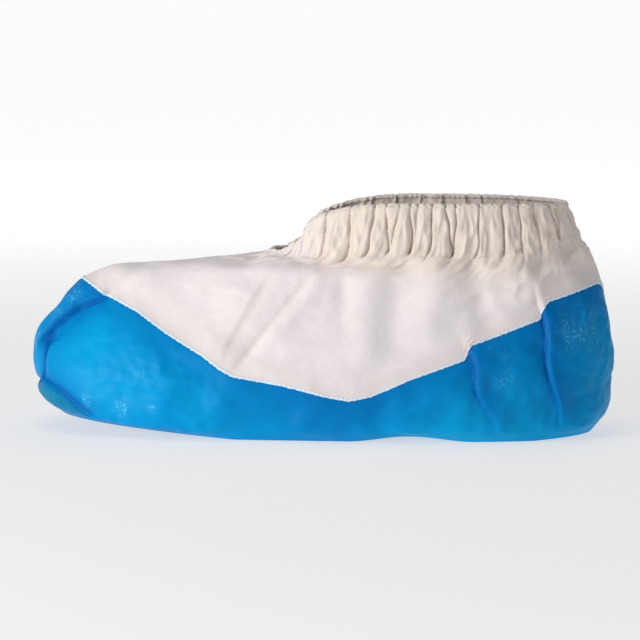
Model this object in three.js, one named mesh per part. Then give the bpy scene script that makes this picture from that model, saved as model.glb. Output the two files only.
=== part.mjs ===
// A disposable shoe cover as it stands when it is worn: a film bottom, a nonwoven upper and a
// gathered ankle edge. Millimetres, +X to the toe, +Z up, the floor at z = 0.
//
// One cloth surface carries every piece. A station on it has a turn (0 at the toe, a quarter turn
// at +Y, a half turn at the heel) and a level, which counts up the rows of LEVELS.

import * as THREE from "three";

// Walls and clearances
const FILM_WALL = 1.2;
const UPPER_WALL = 1.2;
const HEM_WALL = 1.6;
const PIECE_GAP = 0.3;

// How finely each piece is faceted
const COLUMNS = 96;
const FILM_SIDE_ROWS = 8;
const UPPER_ROWS = 8;
const HEM_ROWS = 3;
const SOLE_RINGS = [0.4, 0.72];
const TOE_DENSITY = 0.14;
const FILM_ROW_SKEW = 1.4;

// The weld bead between film and upper, and the elastic on the rim
const WELD_WIDTH = 2.0;
const WELD_THICKNESS = 1.0;
const ELASTIC_DIAMETER = 3.0;
const ELASTIC_SIDES = 6;
const ELASTIC_GAP = 0.7;

// Gathers
const PLEATS = 36;
const COLUMNS_PER_PLEAT = 4;
const PLEAT_DEPTH = 4.2;
const PLEAT_ROUNDNESS = 0.55;
const PLEAT_FADE = 0.9;
const ELASTIC_SHARE = 0.45;

// The sole curls up under the toe and the heel, and lifts at the edge of the waist
const SOLE_CENTRE_X = -10;
const TOE_CURL_FROM = 44;
const TOE_CURL_SLOPE = 0.088;
const HEEL_CURL_FROM = -118;
const HEEL_CURL_SLOPE = 0.07;
const WAIST_X = -52;
const WAIST_HALF_LENGTH = 34;
const WAIST_LIFT = 3.2;

// The rim dips at the front of the ankle, between these places along the foot
const THROAT_BACK_X = 4;
const THROAT_FRONT_X = 34;
const THROAT_BACK_RUN = 8;
const THROAT_FRONT_RUN = 14;

// The film stands in two lobes at the back with a notch between them
const HEEL_NOTCH_DEPTH = 9;
const HEEL_NOTCH_HALF_WIDTH = 7;

// Levels from the sole's edge to the rim. Each is a closed ring: its toe and heel ends, its
// height at the sides, its half width and where that is, how square its ends are, how sharply its
// height runs to the ends, and how far it dips at the throat.
const LEVELS = [
  { name: "sole", toeX: 147, toeZ: 9, heelX: -149, heelZ: 2, sideZ: 0,
    half: 48, widestX: 40, toeSquare: 2.5, heelSquare: 2.9, toeRun: 0.7, heelRun: 4, throatDip: 0 },
  { name: "lip", toeX: 160.5, toeZ: 20, heelX: -156, heelZ: 12, sideZ: 7,
    half: 55, widestX: 40, toeSquare: 2.4, heelSquare: 2.9, toeRun: 2.0, heelRun: 3, throatDip: 0 },
  { name: "belly", toeX: 163, toeZ: 39, heelX: -159, heelZ: 34, sideZ: 25,
    half: 58.5, widestX: 32, toeSquare: 2.3, heelSquare: 2.9, toeRun: 1.6, heelRun: 3, throatDip: 0 },
  { name: "front", toeX: 161.5, toeZ: 51, heelX: -158, heelZ: 55, sideZ: 41,
    half: 57, widestX: 22, toeSquare: 2.1, heelSquare: 2.8, toeRun: 1.6, heelRun: 3, throatDip: 0 },
  { name: "slope", toeX: 149, toeZ: 66.5, heelX: -156, heelZ: 72, sideZ: 56,
    half: 53, widestX: 12, toeSquare: 1.8, heelSquare: 2.7, toeRun: 1.5, heelRun: 3, throatDip: 0 },
  { name: "crown", toeX: 134.8, toeZ: 82.5, heelX: -152, heelZ: 88, sideZ: 71,
    half: 48, widestX: 0, toeSquare: 1.55, heelSquare: 2.5, toeRun: 1.3, heelRun: 3, throatDip: 0 },
  { name: "vamp", toeX: 96, toeZ: 92.5, heelX: -147, heelZ: 102, sideZ: 86,
    half: 43, widestX: -25, toeSquare: 1.7, heelSquare: 2.4, toeRun: 1.2, heelRun: 3, throatDip: 0 },
  { name: "neck", toeX: 40, toeZ: 94.5, heelX: -140, heelZ: 110, sideZ: 99,
    half: 40, widestX: -52, toeSquare: 1.8, heelSquare: 2.3, toeRun: 1.6, heelRun: 3, throatDip: 0 },
  { name: "rim", toeX: 31, toeZ: 99.5, heelX: -134, heelZ: 125, sideZ: 126,
    half: 37, widestX: -56, toeSquare: 1.8, heelSquare: 2.3, toeRun: 3.4, heelRun: 3, throatDip: 8 },
];
const SOLE_LEVEL = 0;
const NECK_LEVEL = LEVELS.findIndex((level) => level.name === "neck");
const RIM_LEVEL = LEVELS.length - 1;

// The weld line where film meets upper, seen from the side
const WELD_LINE = [
  { x: -170, z: 86 },
  { x: -150, z: 84 },
  { x: -126, z: 76 },
  { x: -121, z: 67 },
  { x: -86, z: 54 },
  { x: -81, z: 46 },
  { x: -52, z: 35.5 },
  { x: -32, z: 26.5 },
  { x: -20, z: 24 },
  { x: -10, z: 25.5 },
  { x: 15, z: 31.5 },
  { x: 43, z: 36 },
  { x: 50, z: 39.5 },
  { x: 60, z: 46.5 },
  { x: 81, z: 57.5 },
  { x: 98, z: 67.5 },
  { x: 122, z: 77.5 },
  { x: 135, z: 82.5 },
];

// Folds. Each runs straight between two places on the cloth. A soft fold is a rounded valley or
// ridge, a crease is a sharp one, and a tuck is a step: proud on the left of its run, sunk on the
// right, seen from outside. Depth is outwards, so a valley's is negative.
const FOLDS = [
  // toe: the rolled strip, its creases and the lip under the side panels
  { kind: "crease", from: [124, 17.5, 75.5], to: [156, 16, 52.5], width: 4.0, depth: -4.2 },
  { kind: "soft", from: [130, 8, 80], to: [158, 9, 51], width: 5.5, depth: 1.8 },
  { kind: "crease", from: [154, 20, 53], to: [157, 22, 27], width: 4.0, depth: -3.6 },
  { kind: "crease", from: [121, -19, 77], to: [150, -24, 49], width: 4.2, depth: -3.8 },
  { kind: "crease", from: [151, -25, 51], to: [153, -28, 28], width: 4.0, depth: -3.0 },
  { kind: "tuck", from: [120, 40, 7], to: [156, 25, 27], width: 6.0, depth: 2.4 },
  { kind: "crease", from: [157, 24, 26.5], to: [157, -24, 26.5], width: 4.5, depth: -3.6 },
  { kind: "tuck", from: [155, -26, 27], to: [120, -40, 7], width: 6.0, depth: 2.4 },
  // film, left side
  { kind: "soft", from: [104, 34, 62], to: [76, 57, 26], width: 10, depth: 1.5 },
  { kind: "soft", from: [52, 57, 36], to: [74, 56, 13], width: 8, depth: -1.6 },
  { kind: "soft", from: [22, 58, 31], to: [36, 56, 9], width: 8, depth: -1.4 },
  { kind: "soft", from: [-8, 58, 24], to: [6, 56, 9], width: 8, depth: 1.2 },
  { kind: "soft", from: [-40, 55, 28], to: [-30, 53, 9], width: 8, depth: -1.5 },
  { kind: "tuck", from: [-84, 50, 52], to: [-98, 45, 8], width: 9, depth: 3.0 },
  { kind: "tuck", from: [-125, 41, 74], to: [-133, 36, 8], width: 9, depth: 3.2 },
  // film, right side
  { kind: "soft", from: [100, -36, 62], to: [84, -55, 24], width: 10, depth: -1.6 },
  { kind: "soft", from: [60, -56, 38], to: [66, -57, 13], width: 8, depth: 1.4 },
  { kind: "soft", from: [18, -58, 30], to: [28, -56, 9], width: 8, depth: -1.5 },
  { kind: "soft", from: [-36, -55, 26], to: [-44, -53, 9], width: 8, depth: 1.3 },
  { kind: "tuck", from: [-94, -46, 8], to: [-84, -50, 52], width: 9, depth: 3.0 },
  { kind: "tuck", from: [-136, -34, 8], to: [-124, -41, 74], width: 9, depth: 3.2 },
  // film, centre back
  { kind: "crease", from: [-155, 0, 78], to: [-158, 0, 26], width: 5, depth: -3.2 },
  // upper, left side: drag folds from the weld's corner to the ankle, then soft upright folds
  { kind: "soft", from: [30, 37, 88], to: [49, 53, 50], width: 6.5, depth: -2.6 },
  { kind: "soft", from: [20, 40, 86], to: [43, 54, 46], width: 7.5, depth: 2.0 },
  { kind: "soft", from: [8, 44, 80], to: [40, 56, 40], width: 6.5, depth: -2.8 },
  { kind: "soft", from: [97, 4, 92], to: [112, 24, 75], width: 7.0, depth: -1.0 },
  { kind: "soft", from: [-15, 37, 96], to: [-15, 52, 60], width: 7, depth: -2.0 },
  { kind: "soft", from: [-29, 39, 97], to: [-28, 54, 46], width: 8, depth: 1.8 },
  { kind: "soft", from: [-44, 40, 96], to: [-43, 53, 50], width: 8, depth: -2.0 },
  { kind: "soft", from: [-66, 40, 98], to: [-62, 51, 56], width: 9, depth: 1.8 },
  { kind: "soft", from: [-84, 39, 99], to: [-94, 47, 62], width: 8, depth: -2.4 },
  { kind: "soft", from: [-108, 35, 102], to: [-118, 42, 80], width: 8, depth: 1.8 },
  { kind: "soft", from: [-134, 18, 108], to: [-148, 18, 88], width: 7, depth: -2.0 },
  // upper, right side
  { kind: "soft", from: [34, -36, 87], to: [54, -52, 50], width: 7, depth: -2.4 },
  { kind: "soft", from: [18, -42, 84], to: [40, -55, 44], width: 7.5, depth: 1.8 },
  { kind: "soft", from: [4, -44, 82], to: [30, -56, 42], width: 7, depth: -2.6 },
  { kind: "soft", from: [90, -6, 91], to: [104, -28, 74], width: 7.0, depth: -1.0 },
  { kind: "soft", from: [-20, -38, 96], to: [-14, -53, 52], width: 8, depth: 1.8 },
  { kind: "soft", from: [-37, -40, 96], to: [-37, -53, 50], width: 8, depth: -2.0 },
  { kind: "soft", from: [-58, -40, 97], to: [-54, -52, 54], width: 9, depth: 1.7 },
  { kind: "soft", from: [-78, -40, 99], to: [-84, -49, 64], width: 8, depth: -2.3 },
  { kind: "soft", from: [-104, -36, 102], to: [-112, -44, 78], width: 8, depth: 1.8 },
  { kind: "soft", from: [-132, -20, 108], to: [-146, -20, 88], width: 7, depth: -2.0 },
];
const FOLD_REACH = 4;
const WALL_REACH = 18;
const TUCK_SINK = 0.45;

// Colours of the pieces
const FILM_BLUE = 0x0a8fd0;
const WELD_BLUE = 0xb5cde4;
const UPPER_WHITE = 0xeadedd;
const HEM_CREAM = 0xe3d6cb;
const ELASTIC_CREAM = 0xd9cbbd;

const UP = new THREE.Vector3(0, 0, 1);
const FULL_TURN = 2 * Math.PI;
const SMALL_STEP = 1e-3;
const CLOTH_STEP = 0.8;
const SEARCH_STEPS = 240;

function smooth(value, low, high) {
  return THREE.MathUtils.smoothstep(value, low, high);
}

function signedPower(value, power) {
  return Math.sign(value) * Math.abs(value) ** power;
}

// Height of the sole above the floor at a place along the foot, and how far out it is
function soleHeight(x, edgeShare) {
  const toeCurl = TOE_CURL_SLOPE * Math.max(0, x - TOE_CURL_FROM);
  const heelCurl = HEEL_CURL_SLOPE * Math.max(0, HEEL_CURL_FROM - x);
  const waist = smooth(WAIST_HALF_LENGTH - Math.abs(x - WAIST_X), 0, WAIST_HALF_LENGTH);
  return toeCurl + heelCurl + WAIST_LIFT * waist * edgeShare ** 4;
}

// How deep the throat is at a place along the foot, from 0 to 1
function throatShare(x) {
  const back = smooth(x, THROAT_BACK_X, THROAT_BACK_X + THROAT_BACK_RUN);
  return back * (1 - smooth(x, THROAT_FRONT_X - THROAT_FRONT_RUN, THROAT_FRONT_X));
}

// A place on one level's ring
function ringPoint(level, turn) {
  const cosine = Math.cos(turn);
  const sine = Math.sin(turn);
  const isToe = cosine >= 0;
  const square = isToe ? level.toeSquare : level.heelSquare;
  const reach = isToe ? level.toeX - level.widestX : level.widestX - level.heelX;
  const run = Math.abs(cosine) ** (isToe ? level.toeRun : level.heelRun);
  const endZ = isToe ? level.toeZ : level.heelZ;
  const x = level.widestX + reach * signedPower(cosine, 2 / square);
  const y = level.half * signedPower(sine, 2 / square);
  const ringZ = level.sideZ + (endZ - level.sideZ) * run - level.throatDip * throatShare(x);
  return new THREE.Vector3(x, y, level === LEVELS[SOLE_LEVEL] ? soleHeight(x, 1) : ringZ);
}

// The curve up the cloth at one turn, with its knots at the levels
const meridians = new Map();
function meridian(turn) {
  if (!meridians.has(turn)) {
    const knots = LEVELS.map((level) => ringPoint(level, turn));
    meridians.set(turn, new THREE.CatmullRomCurve3(knots, false, "centripetal"));
  }
  return meridians.get(turn);
}

function smoothPoint(turn, level) {
  return meridian(turn).getPoint(THREE.MathUtils.clamp(level / RIM_LEVEL, 0, 1));
}

// Directions up the cloth and out of it, before folds
function upAlong(turn, level) {
  const low = Math.max(0, level - SMALL_STEP);
  const high = Math.min(RIM_LEVEL, level + SMALL_STEP);
  return smoothPoint(turn, high).sub(smoothPoint(turn, low)).divideScalar(high - low);
}

function outwards(turn, level) {
  const round = smoothPoint(turn + SMALL_STEP, level).sub(smoothPoint(turn - SMALL_STEP, level));
  return round.cross(upAlong(turn, level)).normalize();
}

// Level that lies a distance in millimetres up the cloth from another
function levelAbove(turn, level, distance) {
  return level + distance / upAlong(turn, level).length();
}

// Cross-section of a fold, for a place measured in fold widths to the left of its run
function foldSection(kind, across) {
  if (kind === "soft") return Math.exp(-across * across);
  if (kind === "crease") return Math.exp(-1.6 * Math.abs(across));
  return across > 0 ? Math.exp(-across) : -TUCK_SINK * Math.exp(across * 2);
}

const FOLD_RUNS = FOLDS.map((fold) => {
  const start = new THREE.Vector3(...fold.from);
  const run = new THREE.Vector3(...fold.to).sub(start);
  return { ...fold, start, length: run.length(), along: run.clone().normalize() };
});

// How far the folds push a place of the cloth outwards
function foldLift(point, normal) {
  let lift = 0;
  for (const fold of FOLD_RUNS) {
    const offset = point.clone().sub(fold.start);
    const share = offset.dot(fold.along) / fold.length;
    if (share < -0.5 || share > 1.5 || Math.abs(offset.dot(normal)) > WALL_REACH) continue;
    const left = normal.clone().cross(fold.along).normalize();
    const across = offset.dot(left) / fold.width;
    if (Math.abs(across) > FOLD_REACH) continue;
    const fade = smooth(share, -0.18, 0.12) * (1 - smooth(share, 0.88, 1.18));
    lift += fold.depth * fade * foldSection(fold.kind, across);
  }
  return lift;
}

// Gathers are spaced by their length along the neck, a little unevenly. GATHER_TURNS holds the
// turn at each even share of that spacing.
const GATHER_SAMPLES = 720;
const GATHER_TURNS = (() => {
  const neck = LEVELS[NECK_LEVEL];
  const lengths = [0];
  let last = ringPoint(neck, 0);
  for (let sample = 1; sample <= GATHER_SAMPLES; sample += 1) {
    const next = ringPoint(neck, (sample / GATHER_SAMPLES) * FULL_TURN);
    lengths.push(lengths[sample - 1] + next.distanceTo(last));
    last = next;
  }
  const uneven = (share) => share + 0.016 * Math.sin(FULL_TURN * 3 * share)
    + 0.007 * Math.sin(FULL_TURN * 8 * share);
  const turns = [];
  let place = 0;
  for (let sample = 0; sample <= GATHER_SAMPLES; sample += 1) {
    const wanted = uneven(sample / GATHER_SAMPLES) * lengths[GATHER_SAMPLES];
    while (place < GATHER_SAMPLES - 1 && lengths[place + 1] < wanted) place += 1;
    const part = (wanted - lengths[place]) / (lengths[place + 1] - lengths[place]);
    turns.push(((place + part) / GATHER_SAMPLES) * FULL_TURN);
  }
  return turns;
})();

function turnOfGather(share) {
  const place = Math.min(share * GATHER_SAMPLES, GATHER_SAMPLES - 1e-9);
  const low = Math.floor(place);
  return THREE.MathUtils.lerp(GATHER_TURNS[low], GATHER_TURNS[low + 1], place - low);
}

function gatherOfTurn(turn) {
  const wrapped = THREE.MathUtils.euclideanModulo(turn, FULL_TURN);
  let low = 0;
  let high = GATHER_SAMPLES;
  while (high - low > 1) {
    const middle = Math.floor((low + high) / 2);
    if (GATHER_TURNS[middle] <= wrapped) low = middle;
    else high = middle;
  }
  const part = (wrapped - GATHER_TURNS[low]) / (GATHER_TURNS[high] - GATHER_TURNS[low]);
  return (low + part) / GATHER_SAMPLES;
}

// How far the gathers push a place of the cloth outwards
function gatherLift(turn, level) {
  if (level < NECK_LEVEL - PLEAT_FADE) return 0;
  const phase = gatherOfTurn(turn) * PLEATS;
  const lobe = Math.abs(Math.sin(Math.PI * phase)) ** PLEAT_ROUNDNESS - 0.62;
  const uneven = 1 + 0.25 * Math.sin(2.4 * Math.floor(phase));
  const rise = smooth(level, NECK_LEVEL - PLEAT_FADE, NECK_LEVEL + 0.35);
  const fall = THREE.MathUtils.lerp(1, ELASTIC_SHARE, smooth(level, NECK_LEVEL + 0.5, RIM_LEVEL));
  return PLEAT_DEPTH * lobe * uneven * rise * fall;
}

// A place on the folded cloth, and the way out of it
function clothPoint(turn, level, lift = 0) {
  const point = smoothPoint(turn, level);
  const normal = outwards(turn, level);
  const heldBySole = smooth(level, SOLE_LEVEL, SOLE_LEVEL + 1);
  const folds = foldLift(point, normal) * heldBySole + gatherLift(turn, level);
  return point.addScaledVector(normal, folds + lift);
}

// The way out of the folded cloth, taken over a short distance either side
function clothNormal(turn, level) {
  const reach = CLOTH_STEP / upAlong(turn, level).length();
  const low = Math.max(SOLE_LEVEL, level - reach);
  const high = Math.min(RIM_LEVEL, level + reach);
  const up = clothPoint(turn, high).sub(clothPoint(turn, low));
  const width = smoothPoint(turn + SMALL_STEP, level).distanceTo(smoothPoint(turn, level));
  const swing = (CLOTH_STEP * SMALL_STEP) / width;
  return clothPoint(turn + swing, level).sub(clothPoint(turn - swing, level)).cross(up).normalize();
}

// Both faces of a wall at one place: its outer face on the cloth, its inner face behind it. Where
// two pieces meet, both use the smooth cloth's normal, so that their edges face each other.
function wallAt(turn, level, wall, meetsPiece) {
  const outer = clothPoint(turn, level);
  const normal = meetsPiece ? outwards(turn, level) : clothNormal(turn, level);
  return { outer, inner: outer.clone().addScaledVector(normal, -wall) };
}

// Height of the weld line at a place on the cloth
function weldHeight(point) {
  let height = WELD_LINE[0].z;
  for (let row = 1; row < WELD_LINE.length; row += 1) {
    const low = WELD_LINE[row - 1];
    const high = WELD_LINE[row];
    const share = THREE.MathUtils.clamp((point.x - low.x) / (high.x - low.x), 0, 1);
    height += (high.z - low.z) * share;
  }
  const nearHeel = smooth(-point.x, 110, 145);
  const notch = Math.exp(-((point.y / HEEL_NOTCH_HALF_WIDTH) ** 2));
  return height - HEEL_NOTCH_DEPTH * nearHeel * notch;
}

// Level at which the cloth crosses the weld line
function weldLevel(turn) {
  let below = 0;
  for (let step = 1; step <= SEARCH_STEPS; step += 1) {
    const level = (step / SEARCH_STEPS) * NECK_LEVEL;
    const point = smoothPoint(turn, level);
    const above = point.z - weldHeight(point);
    if (above >= 0) return level - (above / (above - below)) * (NECK_LEVEL / SEARCH_STEPS);
    below = above;
  }
  return NECK_LEVEL;
}

// Turns for a piece's columns, closer together round the toe and the heel
function columnTurns(count) {
  return Array.from({ length: count }, (_, column) => {
    const share = column / count;
    return FULL_TURN * (share - (TOE_DENSITY * Math.sin(2 * FULL_TURN * share)) / (2 * FULL_TURN));
  });
}

function spread(low, high, steps) {
  return Array.from({ length: steps + 1 }, (_, step) => THREE.MathUtils.lerp(low, high, step / steps));
}

// Triangles of a grid that closes round its columns. A first row of one repeated place is a fan.
function gridFaces(rowCount, columnCount, first, inward, startsAtPoint) {
  const faces = [];
  for (let row = 0; row < rowCount - 1; row += 1) {
    for (let column = 0; column < columnCount; column += 1) {
      const next = (column + 1) % columnCount;
      const a = first + row * columnCount + column;
      const b = first + row * columnCount + next;
      const c = b + columnCount;
      const d = a + columnCount;
      const pair = startsAtPoint && row === 0 ? [[first, c, d]] : [[a, b, c], [a, c, d]];
      for (const face of pair) faces.push(...(inward ? [face[0], face[2], face[1]] : face));
    }
  }
  return faces;
}

function toGeometry(points, faces) {
  const geometry = new THREE.BufferGeometry();
  const values = points.flatMap((point) => [point.x, point.y, point.z]);
  geometry.setAttribute("position", new THREE.Float32BufferAttribute(values, 3));
  geometry.setIndex(faces);
  geometry.computeVertexNormals();
  return geometry;
}

// A closed wall from a grid of places, each with its outer and inner face
function wallGeometry(rows, startsAtPoint = false) {
  const columnCount = rows[0].length;
  const outer = rows.flat().map((place) => place.outer);
  const inner = rows.flat().map((place) => place.inner);
  const outerFaces = gridFaces(rows.length, columnCount, 0, false, startsAtPoint);
  const innerFaces = gridFaces(rows.length, columnCount, outer.length, true, startsAtPoint);
  const edgeFaces = [];
  for (let column = 0; column < columnCount; column += 1) {
    const next = (column + 1) % columnCount;
    const top = (rows.length - 1) * columnCount;
    const up = [top + column, top + next, outer.length + top + next, outer.length + top + column];
    edgeFaces.push(up[0], up[1], up[2], up[0], up[2], up[3]);
    if (startsAtPoint) continue;
    const down = [column, next, outer.length + next, outer.length + column];
    edgeFaces.push(down[0], down[2], down[1], down[0], down[3], down[2]);
  }
  return toGeometry([...outer, ...inner], [...outerFaces, ...innerFaces, ...edgeFaces]);
}

// A closed band round the cloth: one section of corners at each turn
function bandGeometry(sections) {
  const sides = sections[0].length;
  const faces = [];
  sections.forEach((_, column) => {
    const next = (column + 1) % sections.length;
    for (let side = 0; side < sides; side += 1) {
      const beside = (side + 1) % sides;
      const a = column * sides + side;
      const b = next * sides + side;
      const c = next * sides + beside;
      const d = column * sides + beside;
      faces.push(a, b, c, a, c, d);
    }
  });
  return toGeometry(sections.flat(), faces);
}

function namedMesh(name, geometry, color, roughness) {
  const material = new THREE.MeshStandardMaterial({ color, roughness, metalness: 0 });
  const mesh = new THREE.Mesh(geometry, material);
  mesh.name = name;
  return mesh;
}

// Film bottom: a flat sole patch that turns up into the sides as far as the weld line
function filmSole() {
  const turns = columnTurns(COLUMNS);
  const sole = LEVELS[SOLE_LEVEL];
  const solePlace = (outer, up) => ({ outer, inner: outer.clone().addScaledVector(up, FILM_WALL) });
  const rows = [0, ...SOLE_RINGS].map((share) => turns.map((turn) => {
    const edge = ringPoint(sole, turn);
    const x = THREE.MathUtils.lerp(SOLE_CENTRE_X, edge.x, share);
    return solePlace(new THREE.Vector3(x, edge.y * share, soleHeight(x, share)), UP);
  }));
  const heights = turns.map((turn) => {
    const weld = weldLevel(turn);
    const top = levelAbove(turn, weld, -PIECE_GAP / 2);
    return spread(0, 1, FILM_SIDE_ROWS).map((share) => top * share ** FILM_ROW_SKEW);
  });
  rows.push(turns.map((turn) => {
    const corner = UP.clone().sub(clothNormal(turn, SOLE_LEVEL)).normalize();
    return solePlace(clothPoint(turn, SOLE_LEVEL), corner);
  }));
  for (let row = 1; row <= FILM_SIDE_ROWS; row += 1) {
    const atWeld = row === FILM_SIDE_ROWS;
    rows.push(turns.map((turn, column) => wallAt(turn, heights[column][row], FILM_WALL, atWeld)));
  }
  return namedMesh("film_sole", wallGeometry(rows, true), FILM_BLUE, 0.35);
}

// Nonwoven upper: from the weld line to the neck
function nonwovenUpper() {
  const turns = columnTurns(COLUMNS);
  const heights = turns.map((turn) => {
    const low = levelAbove(turn, weldLevel(turn), PIECE_GAP / 2);
    const high = levelAbove(turn, NECK_LEVEL, -PIECE_GAP / 2);
    return spread(low, high, UPPER_ROWS);
  });
  const rows = spread(0, UPPER_ROWS, UPPER_ROWS).map((row) => (
    turns.map((turn, column) => (
      wallAt(turn, heights[column][row], UPPER_WALL, row === 0 || row === UPPER_ROWS)
    ))
  ));
  return namedMesh("nonwoven_upper", wallGeometry(rows), UPPER_WHITE, 0.85);
}

// Gathered hem: pleats from the neck to the rim
function gatheredHem() {
  const count = PLEATS * COLUMNS_PER_PLEAT;
  const turns = Array.from({ length: count }, (_, column) => turnOfGather(column / count));
  const heights = turns.map((turn) => (
    spread(levelAbove(turn, NECK_LEVEL, PIECE_GAP / 2), RIM_LEVEL, HEM_ROWS)
  ));
  const rows = spread(0, HEM_ROWS, HEM_ROWS).map((row) => (
    turns.map((turn, column) => (
      wallAt(turn, heights[column][row], HEM_WALL, row === 0 || row === HEM_ROWS)
    ))
  ));
  return namedMesh("gathered_hem", wallGeometry(rows), HEM_CREAM, 0.9);
}

// Weld bead: a thin ribbon that lies over the join of film and upper
function weldSeam() {
  const sections = columnTurns(COLUMNS).map((turn) => {
    const level = weldLevel(turn);
    const low = levelAbove(turn, level, -WELD_WIDTH / 2);
    const high = levelAbove(turn, level, WELD_WIDTH / 2);
    const under = PIECE_GAP;
    const over = PIECE_GAP + WELD_THICKNESS;
    return [
      clothPoint(turn, low, over),
      clothPoint(turn, high, over),
      clothPoint(turn, high, under),
      clothPoint(turn, low, under),
    ];
  });
  return namedMesh("weld_seam", bandGeometry(sections), WELD_BLUE, 0.6);
}

// Elastic: a cord that sits on the rim of the gathers and follows them a little
function elasticEdge() {
  const count = PLEATS * 2;
  const radius = ELASTIC_DIAMETER / 2;
  const sections = Array.from({ length: count }, (_, column) => {
    const turn = turnOfGather(column / count);
    const normal = outwards(turn, RIM_LEVEL);
    const up = upAlong(turn, RIM_LEVEL).normalize();
    const centre = clothPoint(turn, RIM_LEVEL, -HEM_WALL / 2);
    centre.addScaledVector(up, ELASTIC_GAP + radius);
    return Array.from({ length: ELASTIC_SIDES }, (_unused, side) => {
      const angle = ((side + 0.5) / ELASTIC_SIDES) * FULL_TURN;
      return centre.clone()
        .addScaledVector(normal, radius * Math.cos(angle))
        .addScaledVector(up, radius * Math.sin(angle));
    });
  });
  return namedMesh("elastic_edge", bandGeometry(sections), ELASTIC_CREAM, 0.8);
}

const shoeCover = new THREE.Group();
shoeCover.name = "disposable_shoe_cover";
shoeCover.add(filmSole(), nonwovenUpper(), gatheredHem(), weldSeam(), elasticEdge());

export default shoeCover;
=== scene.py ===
"""Dresses the disposable shoe cover: embossed film bottom, nonwoven upper, gathered hem.

Every piece is laid on one cloth surface, in millimetres, and stored in metres. A station on it
has a turn (0 at the toe, a quarter turn at the wearer's left, a half turn at the heel) and a
level, which counts up the rows of LEVELS from the sole's edge to the rim.
"""

from __future__ import annotations

import logging
import math
from dataclasses import dataclass, field, replace
from enum import Enum
from typing import Mapping, Sequence

import bpy
import numpy as np
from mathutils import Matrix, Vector


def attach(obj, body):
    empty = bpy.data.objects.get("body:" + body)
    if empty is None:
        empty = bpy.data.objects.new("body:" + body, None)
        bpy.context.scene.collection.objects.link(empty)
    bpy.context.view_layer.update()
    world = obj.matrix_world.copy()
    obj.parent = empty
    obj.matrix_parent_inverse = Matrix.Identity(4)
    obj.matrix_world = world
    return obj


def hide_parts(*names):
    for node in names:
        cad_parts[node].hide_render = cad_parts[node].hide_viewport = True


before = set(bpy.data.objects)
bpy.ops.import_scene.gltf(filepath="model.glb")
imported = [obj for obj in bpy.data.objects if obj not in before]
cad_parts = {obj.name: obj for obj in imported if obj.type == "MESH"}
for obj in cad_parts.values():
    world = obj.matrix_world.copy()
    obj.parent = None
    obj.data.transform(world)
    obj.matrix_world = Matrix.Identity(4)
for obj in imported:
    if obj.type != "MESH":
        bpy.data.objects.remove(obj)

log = logging.getLogger("shoe_cover")

MM = 0.001
FULL_TURN = 2 * math.pi

# How far to either side of a station a slope is taken, as a turn or a level
STEP = 1e-3

# What is too short to divide by: a vector, and the gap between two rings
TINY = 1e-12
TINY_GAP = 1e-4

# Doubles that stand closer than this are one point, in metres
MERGE_DISTANCE = 1e-5

# The UV map, in metres round and up the cloth, and the numbers that the materials read
UV_NAME = "UVMap"
# fold: painted shade in the folds, creases, tucks and ruffles of each piece
FOLD_SHADE_NAME = "fold"
# glint: where the film carries painted highlights and a shiny coat
GLINT_NAME = "glint"
LAYER_NAME = "layers"
# tone: painted shade on the film; on the gathered cloth, its cream colour
SHADE_AND_CREAM_NAME = "tone"
# teal: painted shade on the toe's lip, and a greenish tint under the foot
TEAL_AND_LIP_SHADE_NAME = "teal"

Pair = tuple[float, float]
Triple = tuple[float, float, float]
Colour = tuple[float, float, float, float]


class FoldKind(Enum):
    """Cross-sections of a fold."""

    SOFT = "soft"
    CREASE = "crease"
    TUCK = "tuck"


@dataclass(frozen=True)
class Level:
    """One closed ring of the cloth, in two half ovals that meet where it is widest.

    Square is an oval's power: 2 is round, more is squarer. Run is how soon its height goes from
    the end's to the side's. Throat dip is how far it sinks in front of the ankle.
    """

    name: str
    toe_x: float
    toe_z: float
    heel_x: float
    heel_z: float
    side_z: float
    half: float
    widest_x: float
    toe_square: float
    heel_square: float
    toe_run: float
    heel_run: float
    throat_dip: float = 0.0


@dataclass(frozen=True)
class Fold:
    """A fold that runs straight between two places on the cloth.

    A tuck is a step: proud on the left of its run, sunk on the right. Its lap is how far the
    proud side reaches over the sunk one. Cover is how far the cloth on the left of a tuck or
    crease is doubled. Depth is outwards. Taper is the width at the end as a share of the width
    at the start, settle how far above its lower end it fades in, and waver how far its line
    wanders between its ends.
    """

    kind: FoldKind
    start: Triple
    end: Triple
    width: float
    depth: float
    lap: float = 0.0
    cover: float = 0.0
    taper: float = 1.0
    settle: float = 0.0
    waver: float = 0.0


# name, toe x and z, heel x and z, side z, half width, widest x, toe and heel square, toe and
# heel run, throat dip
LEVELS: tuple[Level, ...] = (
    Level("sole", 147, 9, -149, 2, 0, 48, 40, 2.5, 2.9, 0.7, 4),
    Level("lip", 160.5, 20, -156, 12, 7, 55, 40, 2.4, 2.9, 2.0, 3),
    Level("belly", 163, 39, -159, 34, 25, 58.5, 32, 2.3, 2.9, 1.6, 3),
    Level("front", 161.5, 51, -158, 55, 41, 57, 22, 2.1, 2.8, 1.6, 3),
    Level("slope", 149, 66.5, -156, 72, 56, 53, 12, 1.8, 2.7, 1.5, 3),
    Level("crown", 134.8, 82.5, -152, 88, 71, 48, 0, 1.55, 2.5, 1.3, 3),
    Level("vamp", 96, 92.5, -147, 102, 86, 43, -25, 1.7, 2.4, 1.2, 3),
    Level("neck", 40, 94.5, -140, 110, 99, 40, -52, 1.8, 2.3, 1.6, 3),
    Level("rim", 31, 99.5, -134, 125, 126, 37, -56, 1.8, 2.3, 3.4, 3, 8),
)
NECK = 7
RIM = 8

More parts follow.
